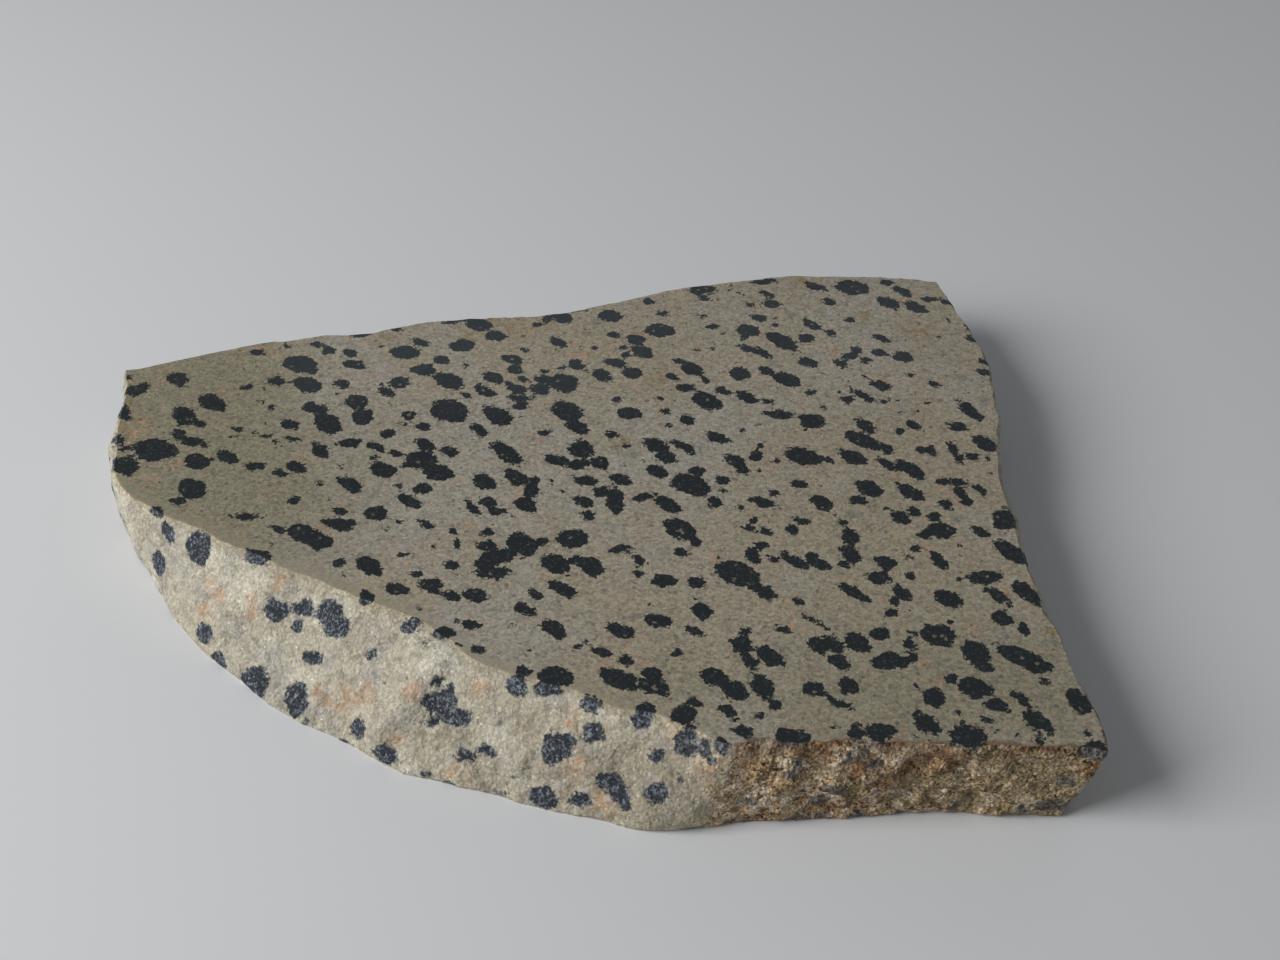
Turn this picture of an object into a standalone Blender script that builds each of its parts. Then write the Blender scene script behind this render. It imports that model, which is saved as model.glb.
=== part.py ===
"""A slab of dalmatian stone, one natural piece.

It was sawn flat above and below and left as it broke all round. The saw cuts are level,
a slab's thickness apart. Between them a broken face runs round the edge: a long conchoidal
slope at the left and front, a steep weathered joint face at the right of the front, and
rough steep faces at the right and the back.
The origin is at the middle of the base, +Z is up and -Y is the front. Metres.
"""

import bmesh
import bpy
import numpy as np

MM = 0.001

# Driving dimensions, in millimetres
THICKNESS = 9.5
RIM_CHAMFER = 0.3
RIM_WAVE = 0.22
RIM_WAVE_LENGTH = 3.2

# Heights of the rings of the broken face, as shares of the thickness
LEVELS = (0.0, 0.035, 0.12, 0.24, 0.37, 0.5, 0.63, 0.76, 0.88, 0.965, 1.0)
RELIEF_FADE = 0.12

# The edge of the slab in four stretches, seen from above and going round anticlockwise.
# "top" and "base" are where the stretch meets the upper and the lower saw cut, in
# millimetres. "belly" is how far the face swells outwards between them, from the start
# of the stretch to its end.
STRETCHES = {
    "left_break": {
        "top": [
            (-50.3, 19.6), (-49.6, 15.5), (-49.1, 11.0), (-48.1, 4.5), (-47.0, 0.6),
            (-44.2, -3.2), (-40.0, -5.9), (-35.5, -8.6), (-30.5, -11.6), (-24.7, -14.7),
            (-18.3, -18.2), (-13.0, -21.2), (-8.5, -24.5),
        ],
        "base": [
            (-50.2, 18.9), (-50.4, 14.5), (-50.3, 10.5), (-49.9, 7.0), (-48.6, 3.2),
            (-46.8, 0.0), (-44.7, -3.5), (-42.3, -7.5), (-39.8, -11.4), (-36.5, -15.7),
            (-33.0, -19.0), (-27.9, -23.7), (-23.5, -26.7), (-18.5, -29.6), (-13.3, -32.9),
        ],
        "columns": 74,
        "belly": (0.0, 0.7),
    },
    "front": {
        "top": [
            (-8.5, -24.5), (-5.5, -27.0), (-2.2, -28.0), (3.3, -29.8), (7.5, -31.6),
            (11.0, -32.6), (15.0, -35.2), (17.2, -37.0), (21.0, -36.5), (27.0, -36.7),
            (33.0, -36.8), (39.0, -37.2), (45.0, -37.1), (51.3, -38.0),
        ],
        "base": [
            (-13.3, -32.9), (-8.0, -34.3), (-4.7, -35.1), (-0.1, -36.9), (5.3, -38.2),
            (9.2, -39.4), (12.5, -39.5), (15.4, -39.0), (19.2, -38.6), (24.0, -38.4),
            (30.0, -38.1), (34.7, -37.5), (41.6, -37.7), (48.4, -37.9),
        ],
        "columns": 72,
        "belly": (0.7, 0.0),
    },
    "right": {
        "top": [
            (51.3, -38.0), (51.6, -35.5), (50.2, -25.0), (49.1, -18.0), (48.7, 0.0),
            (49.2, 6.5), (50.2, 12.0), (50.5, 20.0), (49.8, 26.0), (48.5, 32.0),
            (47.2, 38.6),
        ],
        "base": [
            (48.4, -37.9), (49.6, -36.0), (49.9, -29.0), (49.4, -22.5), (49.6, -15.0),
            (49.9, -8.0), (49.3, 0.0), (48.7, 7.0), (49.4, 14.0), (50.3, 21.0),
            (49.6, 27.5), (48.0, 33.0), (46.0, 37.4),
        ],
        "columns": 56,
        "belly": (0.0, 0.4),
    },
    "back": {
        "top": [
            (47.2, 38.6), (43.0, 39.6), (36.0, 39.6), (30.0, 40.0), (24.0, 39.2),
            (18.8, 38.1), (13.0, 36.4), (3.0, 32.5), (-4.4, 30.8), (-11.0, 30.6),
            (-16.0, 29.6), (-20.7, 28.0), (-27.5, 26.9), (-34.0, 25.6), (-40.5, 23.5),
            (-46.0, 21.2), (-50.3, 19.6),
        ],
        "base": [
            (46.0, 37.4), (41.0, 38.4), (35.0, 39.4), (28.0, 40.8), (21.0, 40.6),
            (14.0, 39.0), (8.0, 36.6), (1.0, 34.0), (-6.0, 32.6), (-13.0, 31.0),
            (-20.0, 28.6), (-27.0, 27.6), (-34.0, 26.4), (-41.0, 23.4), (-50.2, 18.9),
        ],
        "columns": 76,
        "belly": (0.4, 0.0),
    },
}

# Swells and hollows of the broken faces: middle, radii and how far each stands out of the
# face (or lies in it, below nought), in millimetres. The first three are the ridge that
# runs down the slope from the step in the rim.
FORMS = (
    {"at": (-11.0, -24.5, 7.6), "radii": (3.4, 3.2, 3.4), "height": 0.9},
    {"at": (-13.6, -27.8, 4.6), "radii": (3.4, 3.4, 3.4), "height": 0.8},
    {"at": (-16.4, -30.6, 1.6), "radii": (3.2, 3.2, 2.6), "height": 0.4},
    {"at": (-4.0, -31.2, 5.6), "radii": (5.5, 4.6, 4.2), "height": -0.9},
    {"at": (7.5, -35.2, 5.2), "radii": (5.0, 4.0, 3.6), "height": -0.5},
    {"at": (12.0, -37.8, 2.2), "radii": (4.0, 3.4, 3.0), "height": 0.6},
    {"at": (-24.0, -21.5, 4.6), "radii": (7.0, 6.0, 4.6), "height": -1.1},
    {"at": (-33.5, -14.5, 3.4), "radii": (3.0, 4.5, 4.0), "height": 0.5},
    {"at": (-40.5, -7.0, 5.0), "radii": (4.6, 5.0, 4.0), "height": -0.6},
    {"at": (30.0, 39.8, 5.5), "radii": (7.0, 4.0, 4.5), "height": -0.9},
    {"at": (2.0, 33.4, 3.6), "radii": (6.0, 4.0, 3.6), "height": 0.5},
    {"at": (-24.0, 28.0, 5.4), "radii": (7.0, 4.0, 4.0), "height": -0.8},
    {"at": (49.6, -12.0, 4.5), "radii": (4.0, 8.0, 4.0), "height": -0.7},
    {"at": (49.8, 16.0, 3.6), "radii": (4.0, 6.0, 3.6), "height": 0.5},
)

# Relief of the broken faces: lattice size and height of each layer, in millimetres
CLEAN_BREAK = ((7.0, 0.4), (2.8, 0.16))
WEATHERED = ((5.2, 0.4), (2.3, 0.5))
CLEAN_SEED = 11
WEATHERED_SEED = 31
BASE_RIM_SEED = 3
TOP_RIM_SEED = 5

# The weathered joint face lies between these places along the front, and fades out over
# the blend lengths at its ends
JOINT_FACE_START = 17.0
JOINT_FACE_END = 48.5
JOINT_FACE_BLEND = 4.5

STONE_COLOUR = (0.36, 0.33, 0.26, 1.0)
STONE_ROUGHNESS = 0.7
SHARP_ANGLE = 25.0


def smooth_path(corners, count):
    """Evenly spaced points along a Catmull-Rom curve through the corners, without its end."""
    p = np.array(corners, float)
    p = np.vstack([2 * p[0] - p[1], p, 2 * p[-1] - p[-2]])
    t = np.linspace(0, 1, 24, endpoint=False)[:, None]
    spans = [
        0.5 * (2 * b + (c - a) * t + (2 * a - 5 * b + 4 * c - d) * t**2
               + (3 * b - a - 3 * c + d) * t**3)
        for a, b, c, d in zip(p, p[1:], p[2:], p[3:])
    ]
    curve = np.vstack([*spans, p[-2:-1]])
    steps = np.linalg.norm(np.diff(curve, axis=0), axis=1)
    length = np.concatenate([[0], np.cumsum(steps)])
    wanted = np.linspace(0, length[-1], count, endpoint=False)
    return np.column_stack([np.interp(wanted, length, curve[:, k]) for k in (0, 1)])


def ease(t):
    """The smooth step 3t^2 - 2t^3, held at 0 below and at 1 above."""
    t = np.clip(t, 0, 1)
    return t * t * (3 - 2 * t)


def lattice_value(ix, iy, iz, seed):
    """A fixed random number from -1 to 1 for each lattice corner, by mixing its indices."""
    mask = 0xFFFFFFFF
    h = (ix * 73856093 ^ iy * 19349663 ^ iz * 83492791 ^ seed * 2654435761) & mask
    h = ((h ^ (h >> 15)) * 2246822519) & mask
    h = ((h ^ (h >> 13)) * 3266489917) & mask
    return ((h ^ (h >> 16)) & mask) / mask * 2 - 1


def noise(points, size, seed):
    """Smooth noise from -1 to 1: the corner values of a cubic lattice, blended by ease."""
    scaled = points / size
    cell = np.floor(scaled).astype(np.int64)
    s = ease(scaled - cell)
    total = 0
    for dx in (0, 1):
        for dy in (0, 1):
            for dz in (0, 1):
                corner = lattice_value(cell[..., 0] + dx, cell[..., 1] + dy, cell[..., 2] + dz, seed)
                weight = s[..., 0] if dx else 1 - s[..., 0]
                weight = weight * (s[..., 1] if dy else 1 - s[..., 1])
                weight = weight * (s[..., 2] if dz else 1 - s[..., 2])
                total = total + corner * weight
    return total


def weathering(points):
    """1 on the weathered joint face and 0 on the clean breaks, with a smooth step between."""
    x, y = points[..., 0], points[..., 1]
    start = ease((x - JOINT_FACE_START) / JOINT_FACE_BLEND)
    end = ease((JOINT_FACE_END - x) / JOINT_FACE_BLEND)
    return start * end * (y < 0)


def relief(points):
    """How far the broken face stands out of its smooth form: two kinds of noise and the forms."""
    clean = sum(high * noise(points, size, CLEAN_SEED + k)
                for k, (size, high) in enumerate(CLEAN_BREAK))
    rough = sum(high * noise(points, size, WEATHERED_SEED + k)
                for k, (size, high) in enumerate(WEATHERED))
    worn = weathering(points)
    total = clean * (1 - worn) + rough * worn
    for form in FORMS:
        reach = ((points - np.array(form["at"])) / np.array(form["radii"])) ** 2
        total = total + form["height"] * np.exp(-1.5 * reach.sum(axis=-1))
    return total


def rim(key, seed):
    """The slab's edge at one saw cut, slightly wavy, and the outward direction along it."""
    flat = np.vstack([smooth_path(s[key], s["columns"]) for s in STRETCHES.values()])
    along = np.roll(flat, -1, axis=0) - np.roll(flat, 1, axis=0)
    outwards = np.column_stack([along[:, 1], -along[:, 0]])
    outwards /= np.linalg.norm(outwards, axis=1)[:, None]
    places = np.column_stack([flat, np.zeros(len(flat))])
    wave = RIM_WAVE * noise(places, RIM_WAVE_LENGTH, seed)
    return flat + outwards * wave[:, None], outwards


def broken_face():
    """The edge's rings from the base up: straight from rim to rim, plus the belly and the relief."""
    base, base_out = rim("base", BASE_RIM_SEED)
    top, top_out = rim("top", TOP_RIM_SEED)
    outwards = (base_out + top_out) / 2
    outwards /= np.linalg.norm(outwards, axis=1)[:, None]
    belly = np.concatenate([
        np.linspace(*s["belly"], s["columns"], endpoint=False) for s in STRETCHES.values()
    ])
    share = np.array(LEVELS)[:, None, None]
    swell = 4 * share * (1 - share) * belly[None, :, None]
    chamfer = RIM_CHAMFER * ((share == 0) | (share == 1))
    plan = base * (1 - share) + top * share + outwards * (swell - chamfer)
    height = np.broadcast_to(share * THICKNESS, plan.shape[:2] + (1,))
    face = np.concatenate([plan, height], axis=2)
    along = np.roll(face, -1, axis=1) - np.roll(face, 1, axis=1)
    normal = np.cross(along, np.gradient(face, axis=0))
    normal /= np.linalg.norm(normal, axis=2)[..., None]
    fade = np.clip(np.minimum(share, 1 - share) / RELIEF_FADE, 0, 1)
    return face + normal * relief(face)[..., None] * fade


def stone_mesh():
    """Joins the rings with faces, closes both saw cuts and centres the slab on the origin."""
    face = broken_face()
    middle = (face.min(axis=(0, 1)) + face.max(axis=(0, 1))) / 2
    face = (face - [middle[0], middle[1], 0]) * MM
    body = bmesh.new()
    rings = [[body.verts.new(p) for p in row] for row in face]
    columns = len(rings[0])
    for lower, upper in zip(rings, rings[1:]):
        for i in range(columns):
            j = (i + 1) % columns
            body.faces.new((lower[i], lower[j], upper[j], upper[i]))
    for cut in (rings[0], rings[-1]):
        edges = [body.edges.get((cut[i], cut[(i + 1) % columns])) for i in range(columns)]
        bmesh.ops.triangle_fill(body, edges=edges, use_beauty=True)
    bmesh.ops.recalc_face_normals(body, faces=body.faces)
    mesh = bpy.data.meshes.new("stone")
    body.to_mesh(mesh)
    body.free()
    mesh.shade_smooth()
    mesh.set_sharp_from_angle(angle=np.radians(SHARP_ANGLE))
    return mesh


def stone_material():
    """Plain dull stone, in the mean colour of the slab."""
    material = bpy.data.materials.new("stone")
    material.use_nodes = True
    shader = material.node_tree.nodes["Principled BSDF"]
    shader.inputs["Base Color"].default_value = STONE_COLOUR
    shader.inputs["Roughness"].default_value = STONE_ROUGHNESS
    shader.inputs["Metallic"].default_value = 0.0
    return material


def main():
    for old in list(bpy.data.objects):
        bpy.data.objects.remove(old)
    collection = bpy.data.collections.new("dalmatian_stone")
    bpy.context.scene.collection.children.link(collection)
    mesh = stone_mesh()
    mesh.materials.append(stone_material())
    collection.objects.link(bpy.data.objects.new("stone_slab", mesh))


if __name__ == "__main__":
    main()
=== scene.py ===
"""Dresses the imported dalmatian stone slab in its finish: cream stone with black ragged spots,
matte where it was sawn, sugary where it broke, brown and crusted on the weathered joint face.

Lengths in this file are millimetres, in the drawing that the outline was measured on. The
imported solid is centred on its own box, SHIFT away from that drawing.
"""

import bpy
import numpy as np
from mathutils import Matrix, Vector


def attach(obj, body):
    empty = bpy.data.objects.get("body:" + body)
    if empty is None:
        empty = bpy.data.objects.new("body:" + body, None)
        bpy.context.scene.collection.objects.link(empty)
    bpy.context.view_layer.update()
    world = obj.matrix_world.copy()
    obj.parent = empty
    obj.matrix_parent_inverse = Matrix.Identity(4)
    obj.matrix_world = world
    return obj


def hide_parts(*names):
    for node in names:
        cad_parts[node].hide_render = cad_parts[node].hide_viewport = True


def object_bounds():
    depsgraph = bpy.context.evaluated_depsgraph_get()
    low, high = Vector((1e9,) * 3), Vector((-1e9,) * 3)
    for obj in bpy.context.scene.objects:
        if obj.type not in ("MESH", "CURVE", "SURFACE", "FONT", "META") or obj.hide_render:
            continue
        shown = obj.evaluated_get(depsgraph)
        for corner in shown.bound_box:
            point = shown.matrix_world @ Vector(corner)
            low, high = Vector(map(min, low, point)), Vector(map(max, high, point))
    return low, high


bl_info = {
    "name": "Dalmatian stone slab",
    "version": (1, 0, 0),
    "blender": (4, 5, 0),
    "location": "3D View > Sidebar > Stone",
    "description": "Makes the surface of a spotted stone slab around its packed solid",
    "category": "Object",
}

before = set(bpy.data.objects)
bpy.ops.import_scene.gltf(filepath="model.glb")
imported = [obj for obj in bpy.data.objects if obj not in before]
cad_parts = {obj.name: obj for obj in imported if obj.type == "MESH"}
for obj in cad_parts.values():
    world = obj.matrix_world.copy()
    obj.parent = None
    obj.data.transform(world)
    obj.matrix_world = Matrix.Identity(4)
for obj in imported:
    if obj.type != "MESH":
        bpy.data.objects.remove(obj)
CAD_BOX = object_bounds()

MM = 0.001
SHIFT = np.array([0.5536, 0.5498, 0.0])
THICKNESS = (CAD_BOX[1].z - CAD_BOX[0].z) / MM

# A point lies on a cut when its height is this close to the cut's
CUT_GAP = 0.001

# Corners of the slab on its upper cut, anticlockwise from the left tip, and how many
# columns of the edge lie between each two of them, along the front and in all
CORNERS = ((-50.3, 19.6), (-5.4, -26.7), (51.3, -38.0), (47.2, 38.6))
SHORT_SIDE_COLUMNS = 150
LONG_SIDE_COLUMNS = 190
SIDE_COLUMNS = (SHORT_SIDE_COLUMNS, LONG_SIDE_COLUMNS) * 2
FRONT_COLUMNS = SHORT_SIDE_COLUMNS + LONG_SIDE_COLUMNS
RING = 2 * FRONT_COLUMNS

# Rows of the edge from the base to the top, and how much of their spacing crowds them
# together near the cuts
EDGE_ROWS = 40
ROW_CROWDING = 0.35

# The small break along both rims: its width, how many widths deep it goes, and the depth
# within which the relief turns level beside a cut
RIM_CHAMFER = 0.3
CHAMFER_DEPTH = 1.6
LEVEL_DEPTH = 0.8

# How far the edge swells outwards half way up, at each corner
CORNER_BELLY = (0.0, 0.7, 0.0, 0.4)

# Swells and hollows of the broken faces: middle, radii and how far each stands out
FORMS = (
    ((-11.0, -24.5, 7.6), (3.4, 3.2, 3.4), 0.9),
    ((-13.6, -27.8, 4.6), (3.4, 3.4, 3.4), 0.8),
    ((-16.4, -30.6, 1.6), (3.2, 3.2, 2.6), 0.4),
    ((-4.0, -31.2, 5.6), (5.5, 4.6, 4.2), -0.9),
    ((7.5, -35.2, 5.2), (5.0, 4.0, 3.6), -0.5),
    ((12.0, -37.8, 2.2), (4.0, 3.4, 3.0), 0.6),
    ((-24.0, -21.5, 4.6), (7.0, 6.0, 4.6), -1.1),
    ((-33.5, -14.5, 3.4), (3.0, 4.5, 4.0), 0.5),
    ((-40.5, -7.0, 5.0), (4.6, 5.0, 4.0), -0.6),
    ((30.0, 39.8, 5.5), (7.0, 4.0, 4.5), -0.9),
    ((2.0, 33.4, 3.6), (6.0, 4.0, 3.6), 0.5),
    ((-24.0, 28.0, 5.4), (7.0, 4.0, 4.0), -0.8),
    ((49.6, -12.0, 4.5), (4.0, 8.0, 4.0), -0.7),
    ((49.8, 16.0, 3.6), (4.0, 6.0, 3.6), 0.5),
)

# Sharp ridges of the broken front face: the points they run through, radius and height.
# The crest comes down from the step in the rim, and the spur lies to the right of it.
CREST = (
    (-7.4, -24.8, 9.4), (-8.7, -25.9, 8.6), (-10.0, -26.6, 7.6), (-11.6, -27.8, 6.0),
    (-12.8, -28.6, 5.0), (-13.9, -29.2, 4.1), (-15.2, -29.9, 2.5),
)
SPUR = (
    (-7.1, -28.2, 7.2), (-5.4, -29.6, 6.2), (-3.8, -31.2, 4.9), (-2.5, -32.8, 3.9),
    (-1.5, -34.1, 3.1),
)
RIDGES = ((CREST, 1.4, 1.0), (SPUR, 1.0, 0.65))

# How steeply the forms and ridges fall away round their middles
FORM_SHARPNESS = 1.5

# Where the upper rim stands further out than the solid's: place, radius and how far
RIM_PUSHES = (
    ((-40.0, -6.0), 8.0, 0.26), ((-29.0, -12.5), 8.0, 0.2), ((-20.0, -17.5), 7.0, 0.4),
    ((0.5, -29.0), 7.0, 0.9), ((9.5, -32.5), 4.5, 1.1), ((13.6, -34.6), 2.6, 0.6),
    ((18.8, -37.2), 1.8, 0.5), ((23.2, -36.2), 2.6, 0.65), ((29.0, -36.6), 4.5, 0.35),
    ((36.0, -36.9), 4.5, 0.35), ((43.5, -37.2), 5.0, 0.5),
)

# Relief of the broken faces: lattice size and height of each layer, the two coarse ones
# first. The coarse ones fade over this share of the height beside a cut, and the fine
# ones fall to a share of their height at the base.
CLEAN_BREAK = ((7.0, 0.4), (2.8, 0.16), (1.6, 0.15), (0.85, 0.1))
WEATHERED = ((5.2, 0.4), (2.3, 0.5), (1.3, 0.24), (0.75, 0.24))
CLEAN_SEED = 11
WEATHERED_SEED = 31
RELIEF_FADE = 0.12
BASE_RELIEF = 0.35
BASE_RELIEF_HEIGHT = 1.4

# Chips along the rims: lattice size and height, and their share on a clean break
RIM_CHIPS = ((2.3, 0.2), (0.9, 0.16))
RIM_CHIP_SEED = 71
CLEAN_CHIPS = 0.4

# Factors and steps that mix a lattice corner's indices into a random number
LATTICE_FACTORS = (73856093, 19349663, 83492791, 2654435761)
LATTICE_STEPS = ((15, 2246822519), (13, 3266489917))
LATTICE_LAST_STEP = 16
LATTICE_MASK = 0xFFFFFFFF

# The weathered joint face: where it starts and ends along the front, over what length it
# blends, and the line in front of which a spot of the upper cut touches it
JOINT_FACE_START = 17.0
JOINT_FACE_END = 48.5
JOINT_FACE_BLEND = 4.5
JOINT_FACE_Y = -33.5

# Where the crust's colour starts along the front, how far back it goes round the right
# corner, and over what length it fades
CRUST_START = 8.0
CRUST_BACK = -24.0
CRUST_BLEND = 13.0

# How far back the rims reach that the crust and the clean break colour, and how far back
# the crust's rust line does
CRUST_RIM_Y = -30.0
BREAK_RIM_Y = 3.0
RUST_LINE_Y = -25.0

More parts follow.
